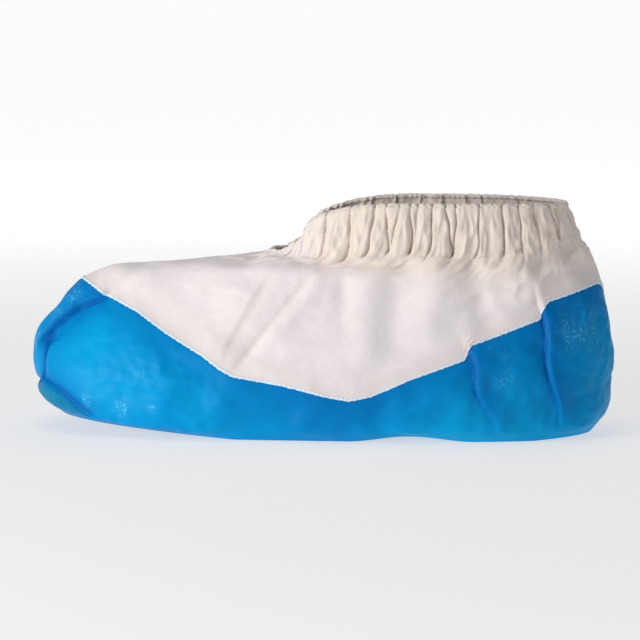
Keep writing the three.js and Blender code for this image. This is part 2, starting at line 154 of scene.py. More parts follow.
# The weld line where film meets nonwoven, seen from the side: x, z
WELD_LINE: tuple[Pair, ...] = (
    (-170, 86),
    (-150, 84),
    (-126, 76),
    (-121, 67),
    (-86, 54),
    (-81, 46),
    (-52, 35.5),
    (-32, 26.5),
    (-20, 24),
    (-10, 25.5),
    (15, 31.5),
    (43, 36),
    (50, 39.5),
    (60, 46.5),
    (81, 57.5),
    (98, 67.5),
    (122, 77.5),
    (135, 82.5),
)

SOFT, CREASE, TUCK = FoldKind.SOFT, FoldKind.CREASE, FoldKind.TUCK

# kind, start, end, width, depth, lap, cover, taper, settle, waver
FOLDS: tuple[Fold, ...] = (
    # toe: the rolled strip, its creases and the lip under the side panels
    Fold(TUCK, (158, 18.5, 49.5), (137, 16.2, 68), 5.0, 2.8, 1.6, 26),
    Fold(TUCK, (137, 16.2, 68), (118.5, 20.5, 76.5), 5.0, 2.8, 1.6, 26),
    Fold(SOFT, (118, 24, 75), (151, 25, 52), 9.0, -1.8, taper=0.4),
    Fold(SOFT, (128, 8, 80), (156, 8, 55), 5.5, 1.5, taper=0.6),
    Fold(CREASE, (151.5, 21, 54), (154, 26.8, 29), 5.0, -3.6, taper=0.5),
    Fold(TUCK, (120, -18, 78), (152, -22, 50), 5.0, 3.0, 2.0, 22),
    Fold(CREASE, (151, -25, 51), (153, -28, 28), 4.0, -3.0, taper=0.4),
    Fold(CREASE, (157, 24, 26.5), (157, -24, 26.5), 4.5, -3.6, cover=30),
    Fold(TUCK, (122, 43.8, 10), (141, 37, 22.6), 4.5, 2.0, 0.8, 45, settle=6),
    Fold(TUCK, (141, 37, 22.6), (156, 24.5, 29), 4.5, 2.0, 0.8, 45),
    Fold(TUCK, (156, -24.5, 29), (141, -37, 22.6), 4.5, 2.0, 0.8, 45),
    Fold(TUCK, (141, -37, 22.6), (122, -43.8, 10), 4.5, 2.0, 0.8, 45, settle=6),
    # film, left side
    Fold(SOFT, (104, 34, 62), (76, 57, 26), 10, 1.5),
    Fold(SOFT, (52, 57, 36), (74, 56, 13), 8, -1.6),
    Fold(SOFT, (22, 58, 31), (36, 56, 9), 8, -1.4),
    Fold(SOFT, (-8, 58, 24), (6, 56, 9), 8, 1.2),
    Fold(SOFT, (-40, 55, 28), (-30, 53, 9), 8, -1.5),
    Fold(TUCK, (-84, 50, 54), (-99, 45, 4), 9, 3.2, 2.2, 14, settle=26, waver=1.6),
    Fold(TUCK, (-124, 41, 76), (-133, 36, 4), 9, 3.4, 2.4, 14, settle=26, waver=1.6),
    # film, right side
    Fold(SOFT, (100, -36, 62), (84, -55, 24), 10, -1.6),
    Fold(SOFT, (60, -56, 38), (66, -57, 13), 8, 1.4),
    Fold(SOFT, (18, -58, 30), (28, -56, 9), 8, -1.5),
    Fold(SOFT, (-36, -55, 26), (-44, -53, 9), 8, 1.3),
    Fold(TUCK, (-95, -46, 4), (-84, -50, 54), 9, 3.2, 2.2, 14, settle=26, waver=1.6),
    Fold(TUCK, (-137, -34, 4), (-124, -41, 76), 9, 3.4, 2.4, 14, settle=26, waver=1.6),
    # film, centre back
    Fold(CREASE, (-155, 0, 78), (-158, 0, 26), 5, -3.2),
    # upper, left side
    Fold(SOFT, (40, 37, 82), (55, 53, 50), 10.0, 2.4),
    Fold(TUCK, (49, 54, 48), (28, 38, 86), 6.0, 0.8),
    Fold(SOFT, (20, 40, 86), (44, 55, 46), 5.0, 0.9),
    Fold(CREASE, (4, 41, 88), (40.5, 56, 42.5), 3.5, -0.8, taper=0.6),
    Fold(SOFT, (-4, 42, 86), (34, 57, 42), 5.0, 0.8, taper=0.6),
    Fold(SOFT, (0, 57, 35), (30, 57, 41), 6.0, 1.2),
    Fold(SOFT, (97, 4, 92), (112, 24, 75), 6.0, -1.2),
    Fold(SOFT, (32, 21.5, 92.5), (-2, 40, 89.5), 9.0, 2.2),
    Fold(SOFT, (-15, 37, 96), (-15, 52, 60), 4.5, -1.1),
    Fold(SOFT, (-29, 39, 97), (-28, 54, 46), 8, 1.6),
    Fold(SOFT, (-44, 40, 96), (-43, 53, 50), 6, -1.0),
    Fold(SOFT, (-66, 40, 98), (-62, 51, 56), 9, 1.8),
    Fold(SOFT, (-84, 39, 99), (-94, 47, 62), 8, -2.4),
    Fold(SOFT, (-108, 35, 102), (-118, 42, 80), 8, 1.8),
    Fold(SOFT, (-134, 18, 108), (-148, 18, 88), 7, -2.0),
    # upper, right side
    Fold(SOFT, (34, -36, 87), (54, -52, 50), 7, -2.4),
    Fold(SOFT, (18, -42, 84), (40, -55, 44), 7.5, 1.8),
    Fold(SOFT, (4, -44, 82), (30, -56, 42), 7, -2.6),
    Fold(SOFT, (90, -6, 91), (104, -28, 74), 7.0, -1.0),
    Fold(SOFT, (32, -21.5, 92.5), (-2, -40, 89.5), 9.0, 2.2),
    Fold(SOFT, (-20, -38, 96), (-14, -53, 52), 8, 1.8),
    Fold(SOFT, (-37, -40, 96), (-37, -53, 50), 8, -2.0),
    Fold(SOFT, (-58, -40, 97), (-54, -52, 54), 9, 1.7),
    Fold(SOFT, (-78, -40, 99), (-84, -49, 64), 8, -2.3),
    Fold(SOFT, (-104, -36, 102), (-112, -44, 78), 8, 1.8),
    Fold(SOFT, (-132, -20, 108), (-146, -20, 88), 7, -2.0),
)

# Where the embossed film catches the light, with painted highlights: x, y, z, radius
GLINTS: tuple[tuple[float, float, float, float], ...] = (
    (154, 15, 55, 5),
    (146, 14, 62, 5),
    (136, 12, 73, 5),
    (127, 45, 20, 4.5),
    (105, 52, 17, 4),
    (94, 53, 36, 2.5),
    (88, 55, 17, 2.5),
    (-96, 46, 40, 8),
    (-140, 34, 60, 12),
    (-140, -34, 60, 12),
    (-100, -46, 36, 8),
    (70, -56, 26, 6),
    (64, 12, 1, 12),
    (-48, -10, 1, 15),
)


def smooth(value: np.ndarray, low: float, high: float) -> np.ndarray:
    """A smooth step from 0 at low to 1 at high."""
    share = np.clip((value - low) / (high - low), 0.0, 1.0)
    return share * share * (3 - 2 * share)


def fall(value: np.ndarray, low: float, high: float) -> np.ndarray:
    """A smooth step from 1 at low to 0 at high."""
    return smooth(value, high, low)


def bell(value: np.ndarray, width: float | np.ndarray, power: float = 2) -> np.ndarray:
    """A bell: 1 at 0, falling off over a width."""
    return np.exp(-((value / width) ** power))


def mix(low: float | np.ndarray, high: float | np.ndarray, share: np.ndarray) -> np.ndarray:
    """The place a share of the way from low to high."""
    return low + (high - low) * share


def signed_power(value: np.ndarray, power: float | np.ndarray) -> np.ndarray:
    """A power that keeps the sign."""
    return np.sign(value) * np.abs(value) ** power


def unit(vectors: np.ndarray) -> np.ndarray:
    """Vectors of length one."""
    return vectors / np.maximum(np.linalg.norm(vectors, axis=-1, keepdims=True), TINY)


@dataclass(frozen=True)
class Crumple:
    """A wavy field in space, from a seeded set of plane waves. A creased one has sharp valleys."""

    height: float
    wavelength: float
    seed: int
    creased: bool = False
    waves: int = 14
    spread: Pair = (0.7, 1.4)

    def at(self, points: np.ndarray) -> np.ndarray:
        """Its value at each place.

        Args:
            points: Places in millimetres, with x, y and z in the last axis.

        Returns:
            About -height to height for each place, or 0 to height where it is creased.
        """
        chance = np.random.default_rng(self.seed)
        value = np.zeros(points.shape[:-1])
        for _ in range(self.waves):
            heading = chance.normal(size=3)
            heading /= np.linalg.norm(heading)
            wave = FULL_TURN / (self.wavelength * chance.uniform(*self.spread))
            value += np.sin(points @ (heading * wave) + chance.uniform(0, FULL_TURN))
        value /= math.sqrt(self.waves)
        return self.height * (np.abs(value) if self.creased else value)


def relief(crumples: Sequence[Crumple], points: np.ndarray) -> np.ndarray:
    """The sum of some crumples at each place."""
    return sum(crumple.at(points) for crumple in crumples)


@dataclass(frozen=True)
class ShadeBand:
    """A band of shade along a tuck: how dark, how far to the left of its line, and how wide."""

    dark: float
    left: float
    width: float

    def at(self, beside: np.ndarray) -> np.ndarray:
        """Its shade, by millimetres to the left of the tuck."""
        return self.dark * bell(beside - self.left, self.width)


@dataclass
class ClothForm:
    """The cloth surface that every piece is laid on."""

    toe_curl_from: float = 44
    toe_curl_slope: float = 0.088
    heel_curl_from: float = -118
    heel_curl_slope: float = 0.07
    throat_back: Pair = (4, 12)
    throat_front: Pair = (20, 34)
    waist_x: float = -52
    waist_half_length: float = 34
    waist_lift: float = 3.2
    waist_power: int = 4
    notch_span: Pair = (-145, -110)
    notch_depth: float = 9
    notch_half_width: float = 7
    cream: Pair = (0.9, 0.25)
    cream_span: Pair = (-14, 22)
    crease_fall: float = 1.6
    # The width of the painted dark line in a crease
    crease_shade_width: float = 0.55
    tuck_sink: float = 0.45
    tuck_sink_fall: float = 2.0
    tuck_step: Pair = (-0.3, 0.1)
    # Painted shade along a tuck: narrow bands at its step and a soft band on its sunk side
    tuck_shade_bands: tuple[ShadeBand, ...] = (ShadeBand(1.0, -2.2, 1.6), ShadeBand(0.35, 0.3, 1.2))
    tuck_soft_shade: ShadeBand = ShadeBand(0.5, 0.0, 9.0)
    tuck_soft_shade_span: Pair = (-4, -1)
    lap_width: float = 0.35
    cover_edge: Pair = (-1.2, 0.8)
    cover_whole: float = 0.3
    end_fade: Pair = (-0.18, 0.12)
    settle_below: float = 4
    waver_turns: float = 1.5
    fold_reach: float = 4
    wall_reach: float = 18
    tip_round: float = 0.25
    neck_samples: int = 1440
    neck_turns: np.ndarray = field(init=False)
    neck_lengths: np.ndarray = field(init=False)

    def __post_init__(self) -> None:
        """Measures the length round the neck, from the toe side."""
        self.neck_turns = np.linspace(0, FULL_TURN, self.neck_samples + 1)
        steps = np.linalg.norm(np.diff(self.ring(NECK, self.neck_turns), axis=0), axis=1)
        self.neck_lengths = np.concatenate([[0], np.cumsum(steps)])

    @property
    def neck_round(self) -> float:
        """Millimetres round the whole neck."""
        return float(self.neck_lengths[-1])

    def neck_place(self, turn: np.ndarray) -> np.ndarray:
        """Millimetres round the neck at which a turn lies."""
        return np.interp(np.mod(turn, FULL_TURN), self.neck_turns, self.neck_lengths)

    def even_turns(self, columns: int) -> np.ndarray:
        """Turns from heel to heel that are evenly spaced round the neck.

        Args:
            columns: How many spaces.

        Returns:
            The turns.
        """
        share = np.linspace(-0.5, 0.5, columns + 1)
        turns = np.interp(np.mod(share, 1.0) * self.neck_round, self.neck_lengths, self.neck_turns)
        return np.where((share < 0) & (turns > 0), turns - FULL_TURN, turns)

    def throat_share(self, x: np.ndarray) -> np.ndarray:
        """How far the rim has dipped at the front of the ankle, from 0 to 1."""
        return smooth(x, *self.throat_back) * fall(x, *self.throat_front)

    def sole_height(self, x: np.ndarray, edge_share: np.ndarray | float) -> np.ndarray:
        """Height of the sole above the floor.

        Args:
            x: Places along the sole, in millimetres.
            edge_share: How far out they are, from 0 at the spine to 1 at the edge.

        Returns:
            The height in millimetres.
        """
        toe = self.toe_curl_slope * np.maximum(0, x - self.toe_curl_from)
        heel = self.heel_curl_slope * np.maximum(0, self.heel_curl_from - x)
        near = self.waist_half_length - np.abs(x - self.waist_x)
        waist = self.waist_lift * smooth(near, 0, self.waist_half_length)
        return toe + heel + waist * edge_share**self.waist_power

    def ring(self, index: int, turn: np.ndarray) -> np.ndarray:
        """Places on one level's ring: two halves of a squarish oval that meet at its widest x.

        Args:
            index: The level's number.
            turn: Turns, in radians.

        Returns:
            Places in millimetres.
        """
        level = LEVELS[index]
        cosine, sine = np.cos(turn), np.sin(turn)
        is_toe = cosine >= 0
        power = 2 / np.where(is_toe, level.toe_square, level.heel_square)
        reach = np.where(is_toe, level.toe_x - level.widest_x, level.widest_x - level.heel_x)
        x = level.widest_x + reach * signed_power(cosine, power)
        tip = self.tip_round**2
        rounded = sine * ((sine**2 + tip) / (1 + tip)) ** ((power - 1) / 2)
        y = level.half * np.where(power > 1, rounded, signed_power(sine, power))
        if index == 0:
            return np.stack([x, y, self.sole_height(x, 1.0)], axis=-1)
        run = np.abs(cosine) ** np.where(is_toe, level.toe_run, level.heel_run)
        z = mix(level.side_z, np.where(is_toe, level.toe_z, level.heel_z), run)
        return np.stack([x, y, z - level.throat_dip * self.throat_share(x)], axis=-1)

    def smooth_point(self, turn: np.ndarray, level: np.ndarray) -> np.ndarray:
        """Places on the cloth before folds, on a centripetal curve through the rings.

        Args:
            turn: Turns, in radians.
            level: Levels from 0 to RIM, of the same shape.

        Returns:
            Places in millimetres.
        """
        turn, level = np.broadcast_arrays(turn, np.clip(level, 0, RIM))
        knots = np.stack([self.ring(index, turn) for index in range(RIM + 1)])
        first, last = 2 * knots[0] - knots[1], 2 * knots[-1] - knots[-2]
        knots = np.concatenate([first[None], knots, last[None]])
        low = np.minimum(np.floor(level).astype(int), RIM - 1)
        share = (level - low)[..., None]
        four = [np.take_along_axis(knots, (low + k)[None, ..., None], axis=0)[0] for k in range(4)]
        gaps = [np.linalg.norm(four[k + 1] - four[k], axis=-1, keepdims=True) ** 0.5 for k in range(3)]
        gaps[1] = np.where(gaps[1] < TINY_GAP, 1.0, gaps[1])
        gaps[0], gaps[2] = (np.where(gap < TINY_GAP, gaps[1], gap) for gap in (gaps[0], gaps[2]))
        a, b, c, d = four
        leave = (b - a) / gaps[0] - (c - a) / (gaps[0] + gaps[1]) + (c - b) / gaps[1]
        arrive = (c - b) / gaps[1] - (d - b) / (gaps[1] + gaps[2]) + (d - c) / gaps[2]
        leave, arrive = leave * gaps[1], arrive * gaps[1]
        square = -3 * b + 3 * c - 2 * leave - arrive
        cube = 2 * b - 2 * c + leave + arrive
        return b + share * (leave + share * (square + share * cube))

    def up_along(self, turn: np.ndarray, level: np.ndarray) -> np.ndarray:
        """Millimetres of cloth for each level, as a vector."""
        low, high = np.maximum(0, level - STEP), np.minimum(RIM, level + STEP)
        return (self.smooth_point(turn, high) - self.smooth_point(turn, low)) / (high - low)[..., None]

    def outwards(self, turn: np.ndarray, level: np.ndarray) -> np.ndarray:
        """The way out of the cloth before folds."""
        round_it = self.smooth_point(turn + STEP, level) - self.smooth_point(turn - STEP, level)
        return unit(np.cross(round_it, self.up_along(turn, level)))

    def level_above(
        self, turn: np.ndarray, level: np.ndarray, distance: float | np.ndarray
    ) -> np.ndarray:
        """The level that lies a distance in millimetres up the cloth."""
        return level + distance / np.linalg.norm(self.up_along(turn, level), axis=-1)

    def weld_height(self, points: np.ndarray) -> np.ndarray:
        """Height of the weld line, with its notch at the heel.

        Args:
            points: Places on the cloth.

        Returns:
            The height in millimetres.
        """
        x, y = points[..., 0], points[..., 1]
        line = np.array(WELD_LINE)
        notch = self.notch_depth * fall(x, *self.notch_span) * bell(y, self.notch_half_width)
        return np.interp(x, line[:, 0], line[:, 1]) - notch

    def weld_level(self, turn: np.ndarray, steps: int = 240) -> np.ndarray:
        """The first level at which the cloth crosses the weld line.

        Args:
            turn: Turns, in radians.
            steps: How many levels are tried.

        Returns:
            The level for each turn.
        """
        levels = np.linspace(0, NECK, steps + 1)[:, None] * np.ones_like(turn)[None]
        points = self.smooth_point(np.broadcast_to(turn, levels.shape), levels)
        above = points[..., 2] - self.weld_height(points)
        index = np.argmax(above >= 0, axis=0)
        columns = np.arange(len(turn))
        high, low = above[index, columns], above[index - 1, columns]
        return (index - high / (high - low)) * NECK / steps

    def station(self, place: Triple, turn_steps: int = 720, level_steps: int = 70) -> Pair:
        """The station of the cloth that lies nearest a place.

        Args:
            place: The place in millimetres.
            turn_steps: How finely the turns are tried.
            level_steps: How finely the levels are tried.

        Returns:
            The turn and the level.
        """
        all_turns = np.linspace(-math.pi, math.pi, turn_steps + 1)
        turns, levels = np.meshgrid(all_turns, np.linspace(0, NECK, level_steps + 1))
        away = np.linalg.norm(self.smooth_point(turns, levels) - np.array(place, float), axis=-1)
        nearest = np.unravel_index(np.argmin(away), away.shape)
        return float(turns[nearest]), float(levels[nearest])

    def lean(
        self, turn: np.ndarray, level: np.ndarray, spread: float = 0.2, past: float = 0.4
    ) -> np.ndarray:
        """Turns of columns that lean with the tucks of the heel, so that no tuck crosses them.

        Args:
            turn: Turns of upright columns, from heel to heel.
            level: Levels, of the same shape.
            spread: How far from a tuck the columns still lean, in radians.
            past: How far they lean on past its ends, as a share of its length.

        Returns:
            The leaning turns.
        """
        leaning = turn
        for fold in FOLDS:
            if fold.kind is FoldKind.TUCK and max(fold.start[0], fold.end[0]) < 0:
                (turn_a, level_a), (turn_b, level_b) = self.station(fold.start), self.station(fold.end)
                share = np.clip((level - level_a) / (level_b - level_a), -past, 1 + past)
                near = bell(turn - (turn_a + turn_b) / 2, spread)
                leaning = leaning + (turn_b - turn_a) * (share - 0.5) * near
        return leaning

    def cream_share(self, x: np.ndarray) -> np.ndarray:
        """How creamy the gathered cloth looks, by x: less so in front of the ankle."""
        return mix(*self.cream, smooth(x, *self.cream_span))

    def section(self, kind: FoldKind, across: np.ndarray) -> np.ndarray:
        """A fold's cross-section.

        Args:
            kind: The kind of fold.
            across: Widths to the left of its run.

        Returns:
            How far each place stands out, as a share of the fold's depth.
        """
        if kind is FoldKind.SOFT:
            return bell(across, 1)
        if kind is FoldKind.CREASE:
            return np.exp(-self.crease_fall * np.abs(across))
        proud = np.exp(-np.maximum(across, 0))
        sunk = -self.tuck_sink * np.exp(self.tuck_sink_fall * np.minimum(across, 0))
        return mix(sunk, proud, smooth(across, *self.tuck_step))

    def fold_painted_shade(self, kind: FoldKind, beside: np.ndarray, across: np.ndarray) -> np.ndarray:
        """How deep in shade the cloth beside a fold lies.

        Args:
            kind: The kind of fold.
            beside: Millimetres to the left of its run.
            across: Widths to the left of its run.

        Returns:
            The shade of each place.
        """
        if kind is FoldKind.CREASE:
            return bell(across, self.crease_shade_width)
        if kind is FoldKind.TUCK:
            soft = self.tuck_soft_shade.at(beside) * fall(beside, *self.tuck_soft_shade_span)
            return soft + sum(band.at(beside) for band in self.tuck_shade_bands)
        return np.zeros_like(beside)

    def fold_place(
        self, fold: Fold, points: np.ndarray, normals: np.ndarray
    ) -> tuple[np.ndarray, np.ndarray, np.ndarray, np.ndarray]:
        """How places lie to a fold.

        Args:
            fold: The fold.
            points: Places before folds.
            normals: The ways out there.

        Returns:
            The way to the left of the fold's run, how far that way each place lies in millimetres
            and in widths, and how strong the fold is there, from 0 to 1.
        """
        start, end = np.array(fold.start, float), np.array(fold.end, float)
        length = float(np.linalg.norm(end - start))
        along = (end - start) / length
        offset = points - start
        share = offset @ along / length
        on_run = np.clip(share, 0, 1)
        aside = offset - along * (on_run * length)[..., None]
        left = unit(np.cross(normals, along))
        waver = fold.waver * np.sin(self.waver_turns * FULL_TURN * share)
        beside = np.sum(offset * left, axis=-1) - waver
        across = beside / (fold.width * mix(1.0, fold.taper, on_run))
        strength = smooth(share, *self.end_fade) * smooth(1 - share, *self.end_fade)
        strength = strength * (np.abs(np.sum(aside * normals, axis=-1)) <= self.wall_reach)
        if fold.settle:
            low = min(fold.start[2], fold.end[2])
            strength = strength * smooth(points[..., 2], low - self.settle_below, low + fold.settle)
        return left, beside, across, strength

    def fold_shift(
        self, points: np.ndarray, normals: np.ndarray
    ) -> tuple[np.ndarray, np.ndarray, np.ndarray]:
        """How the folds move places of the cloth.

        Args:
            points: Places before folds.
            normals: The ways out there.

        Returns:
            The move of each place, then the painted shade beside its folds and how far the cloth
            is doubled there, both from 0 to 1.
        """
        move = np.zeros_like(points)
        shade = np.zeros(points.shape[:-1])
        doubled = np.zeros(points.shape[:-1])
        for fold in FOLDS:
            left, beside, across, strength = self.fold_place(fold, points, normals)
            if fold.cover:
                cover = smooth(beside, *self.cover_edge)
                cover = cover * fall(beside, self.cover_whole * fold.cover, fold.cover + 1)
                doubled = np.maximum(doubled, cover * strength)
            strength = strength * (np.abs(across) <= self.fold_reach)
            lift = fold.depth * strength * self.section(fold.kind, across)
            move += normals * lift[..., None]
            if fold.lap:
                pull = np.where(across > 0, bell(across, 1), bell(across, self.lap_width))
                move -= left * (fold.lap * strength * pull)[..., None]
            shade += strength * self.fold_painted_shade(fold.kind, beside, across)
        return move, np.clip(shade, 0, 1), doubled

    def place(self, turn: np.ndarray, level: np.ndarray) -> tuple[np.ndarray, np.ndarray]:
        """Places on the cloth before folds, and the ways out there."""
        return self.smooth_point(turn, level), self.outwards(turn, level)


@dataclass(frozen=True)
class Signal:
    """A shader value: one output socket on a work sheet, with the usual operators."""

    sheet: ShaderSheet
    socket: bpy.types.NodeSocket

    def __add__(self, other: Signal | float) -> Signal:
        """The sum."""
        return self.sheet.maths("ADD", self, other)

    __radd__ = __add__

    def __sub__(self, other: Signal | float) -> Signal:
        """The difference."""
        return self.sheet.maths("SUBTRACT", self, other)

    def __rsub__(self, other: float) -> Signal:
        """The difference from a number."""
        return self.sheet.maths("SUBTRACT", other, self)

    def __mul__(self, other: Signal | float) -> Signal:
        """The product."""
        return self.sheet.maths("MULTIPLY", self, other)

    __rmul__ = __mul__

    def __pow__(self, other: float) -> Signal:
        """The power."""
        return self.sheet.maths("POWER", self, other)


class ShaderSheet:
    """A material's node tree, built by expressions."""

    def __init__(self, name: str) -> None:
        """Starts a material that holds one Principled shader.

        Args:
            name: The material's name.
        """
        self.material = bpy.data.materials.new(name)
        self.material.use_nodes = True
        self.tree = self.material.node_tree
        self.shader = self.tree.nodes["Principled BSDF"]

    def node(
        self,
        kind: str,
        settings: Mapping[str, object] | None = None,
        inputs: Mapping[str | int, object] | None = None,
        output: str | int = 0,
    ) -> Signal:
        """Adds a node.

        Args:
            kind: The node's type, such as ShaderNodeTexNoise.
            settings: Its settings, set first.
            inputs: Values or signals of its sockets, by name or number.
            output: The socket that is wanted.

        Returns:
            That socket as a signal.
        """
        made = self.tree.nodes.new(kind)
        for key, value in (settings or {}).items():
            setattr(made, key, value)
        for key, value in (inputs or {}).items():
            self.feed(made.inputs[key], value)
        return Signal(self, made.outputs[output])

    def feed(self, socket: bpy.types.NodeSocket, value: object) -> None:
        """Links a signal to a socket, or sets its value.

        Args:
            socket: The input socket.
            value: A signal, or the socket's own value.
        """
        if isinstance(value, Signal):
            self.tree.links.new(value.socket, socket)
        else:
            socket.default_value = value

    def maths(self, operation: str, *values: Signal | float) -> Signal:
        """A Math node on signals and numbers."""
        return self.node("ShaderNodeMath", {"operation": operation}, dict(enumerate(values)))

    def place(self, of_uv: bool) -> Signal:
        """The place on the piece, in metres.

        Args:
            of_uv: Whether it is the place on the UV map, and not in the object.

        Returns:
            The place.
        """
        if of_uv:
            return self.node("ShaderNodeUVMap", {"uv_map": UV_NAME})
        return self.node("ShaderNodeTexCoord", output="Object")

    def round_and_up(self) -> tuple[Signal, Signal]:
        """Metres round the cloth and up the cloth."""
        spot = self.node("ShaderNodeSeparateXYZ", inputs={"Vector": self.place(True)})
        return spot, Signal(self, spot.socket.node.outputs[1])

    def noise(
        self,
        scale: float,
        detail: float = 2.0,
        roughness: float = 0.5,
        of_uv: bool = False,
        stretch: Sequence[float] = (1, 1, 1),
    ) -> Signal:
        """Cloudy noise.

        Args:
            scale: Features for each metre.
            detail: Octaves of finer noise.
            roughness: How strong the finer noise is.
            of_uv: Whether it lies on the UV map, and not in the object.
            stretch: How much closer together the features are along each axis.

        Returns:
            The noise, from 0 to 1.
        """
        spot = self.node(
            "ShaderNodeMapping",
            {"vector_type": "POINT"},
            {"Vector": self.place(of_uv), "Scale": tuple(stretch)},
        )
        return self.node(
            "ShaderNodeTexNoise",
            {"noise_dimensions": "3D"},
            {"Vector": spot, "Scale": scale, "Detail": detail, "Roughness": roughness},
        )

    def attribute(self, name: str) -> Signal:
        """A number that the mesh carries at its points."""
        return self.node("ShaderNodeAttribute", {"attribute_name": name}, output="Fac")

    def step(self, value: Signal, low: float, high: float) -> Signal:
        """A smooth step.

        Args:
            value: What is compared.
            low: Where the step is 0.
            high: Where the step is 1.

        Returns:
            The step, from 0 to 1.
        """
        return self.node(
            "ShaderNodeMapRange",
            {"interpolation_type": "SMOOTHSTEP"},
            {"Value": value, "From Min": low, "From Max": high},
        )

    def blend(self, share: Signal | float, low: object, high: object) -> Signal:
        """A colour between two.

        Args:
            share: How far it is from the first to the second, from 0 to 1.
            low: The first colour.
            high: The second colour.

        Returns:
            The colour.
        """
        return self.node(
            "ShaderNodeMix",
            {"data_type": "RGBA", "blend_type": "MIX"},
            {0: share, 6: low, 7: high},
            output=2,
        )

    def coats(self, base: object, *coats: tuple[Signal, Colour]) -> object:
        """Colours laid over a base one after another.

        Args:
            base: The colour underneath.
            coats: How much of each colour shows, from 0 to 1, and the colour.

        Returns:
            The colour on top.
        """
        for share, colour in coats:
            base = self.blend(share, base, colour)
        return base

    def bump(
        self, height: Signal, distance: float, strength: float, under: Signal | None = None
    ) -> Signal:
        """Bumps of the surface.

        Args:
            height: The height, in units of the distance.
            distance: Metres for one unit.
            strength: How much of the bump shows, from 0 to 1.
            under: Bumps that it lies on.

        Returns:
            The normal.
        """
        inputs: dict[str | int, object] = {"Height": height, "Distance": distance, "Strength": strength}
        if under is not None:
            inputs["Normal"] = under
        return self.node("ShaderNodeBump", inputs=inputs)

    def finish(self, varying: Mapping[str, Signal], fixed: Mapping[str, object]) -> bpy.types.Material:
        """Feeds the shader.

        Args:
            varying: Signals for its sockets.
            fixed: Values that are the same all over.

        Returns:
            The material.
        """
        for key, value in {**fixed, **varying}.items():
            self.feed(self.shader.inputs[key], value)
        return self.material


@dataclass(frozen=True)
class FilmFinish:
    """Blue polyethylene film, embossed with small diamonds that glint in patches, partly as painted
    highlights.
    """

    name: str = "blue_film"
    # deep: painted shade in the film's folds and creases and beside its tucks
    deep: Colour = (0.0, 0.09, 0.36, 1)
    double: Colour = (0.0, 0.20, 0.55, 1)
    body: Colour = (0.0, 0.27, 0.63, 1)
    bright: Colour = (0.0, 0.37, 0.70, 1)
    # glint: a painted highlight
    glint: Colour = (0.16, 0.68, 0.92, 1)
    shaded: Colour = (0.0, 0.15, 0.45, 1)
    # teal: painted shade on the toe's lip, and the greenish tint under the foot
    teal: Colour = (0.0, 0.18, 0.33, 1)
    double_share: float = 0.7
    fold_shade_share: float = 0.8
    painted_glint_in_patches: float = 0.12
    painted_glint_in_specks: float = 0.75
    speck_coat: float = 0.5
    cloud_scale: float = 9
    cloud_step: Pair = (0.34, 0.66)
    patch_scale: float = 60
    patch_step: Pair = (0.35, 0.65)
    speck_scale: float = 560
    speck_step: Pair = (0.50, 0.68)
    grain_scale: float = 420
    roughness: Triple = (0.30, 0.16, 0.06)
    pitch: float = 0.0013
    diamond_power: float = 0.7
    emboss: float = 0.00012
    emboss_plain: float = 0.3
    crinkle_scale: float = 95
    crinkle: float = 0.0012

    def make(self) -> bpy.types.Material:
        """Builds the material.

        Returns:
            The film's material.
        """
        sheet = ShaderSheet(self.name)
        across, up = sheet.round_and_up()
        wave = math.pi / self.pitch
        one = sheet.maths("SINE", (across + up) * wave)
        two = sheet.maths("SINE", (across - up) * wave)
        diamonds = sheet.maths("ABSOLUTE", one * two) ** self.diamond_power
        patches = sheet.step(sheet.noise(self.patch_scale, 4), *self.patch_step)
        patches = patches * sheet.attribute(GLINT_NAME)
        specks = sheet.step(sheet.noise(self.speck_scale, 3), *self.speck_step) * patches
        clouds = sheet.noise(self.cloud_scale, 4)
        blue = sheet.blend(sheet.step(clouds, *self.cloud_step), self.body, self.bright)
        blue = sheet.coats(
            blue,
            (self.double_share * sheet.attribute(LAYER_NAME), self.double),
            # painted shade under the weld, along the sides and at the toe, with random stains
            (sheet.attribute(SHADE_AND_CREAM_NAME), self.shaded),
            # painted shade in teal on the toe's lip, and a greenish tint under the foot
            (sheet.attribute(TEAL_AND_LIP_SHADE_NAME), self.teal),
            # painted shade in the folds
            (self.fold_shade_share * sheet.attribute(FOLD_SHADE_NAME), self.deep),
            # painted highlights in the glinting patches and specks
            (self.painted_glint_in_patches * patches, self.glint),
            (self.painted_glint_in_specks * specks, self.glint),
        )
        even, cloudy, grainy = self.roughness
        relief_share = self.emboss_plain + (1 - self.emboss_plain) * patches
        crinkle = sheet.bump(sheet.noise(self.crinkle_scale, 4, 0.55), self.crinkle, 0.5)
        varying = {
            "Base Color": blue,
            "Roughness": even + cloudy * clouds + grainy * sheet.noise(self.grain_scale),
            "Coat Weight": self.speck_coat * specks,
            "Normal": sheet.bump(diamonds * relief_share, self.emboss, 0.9, crinkle),
        }
        return sheet.finish(varying, {"Specular IOR Level": 0.06, "Coat Roughness": 0.12})


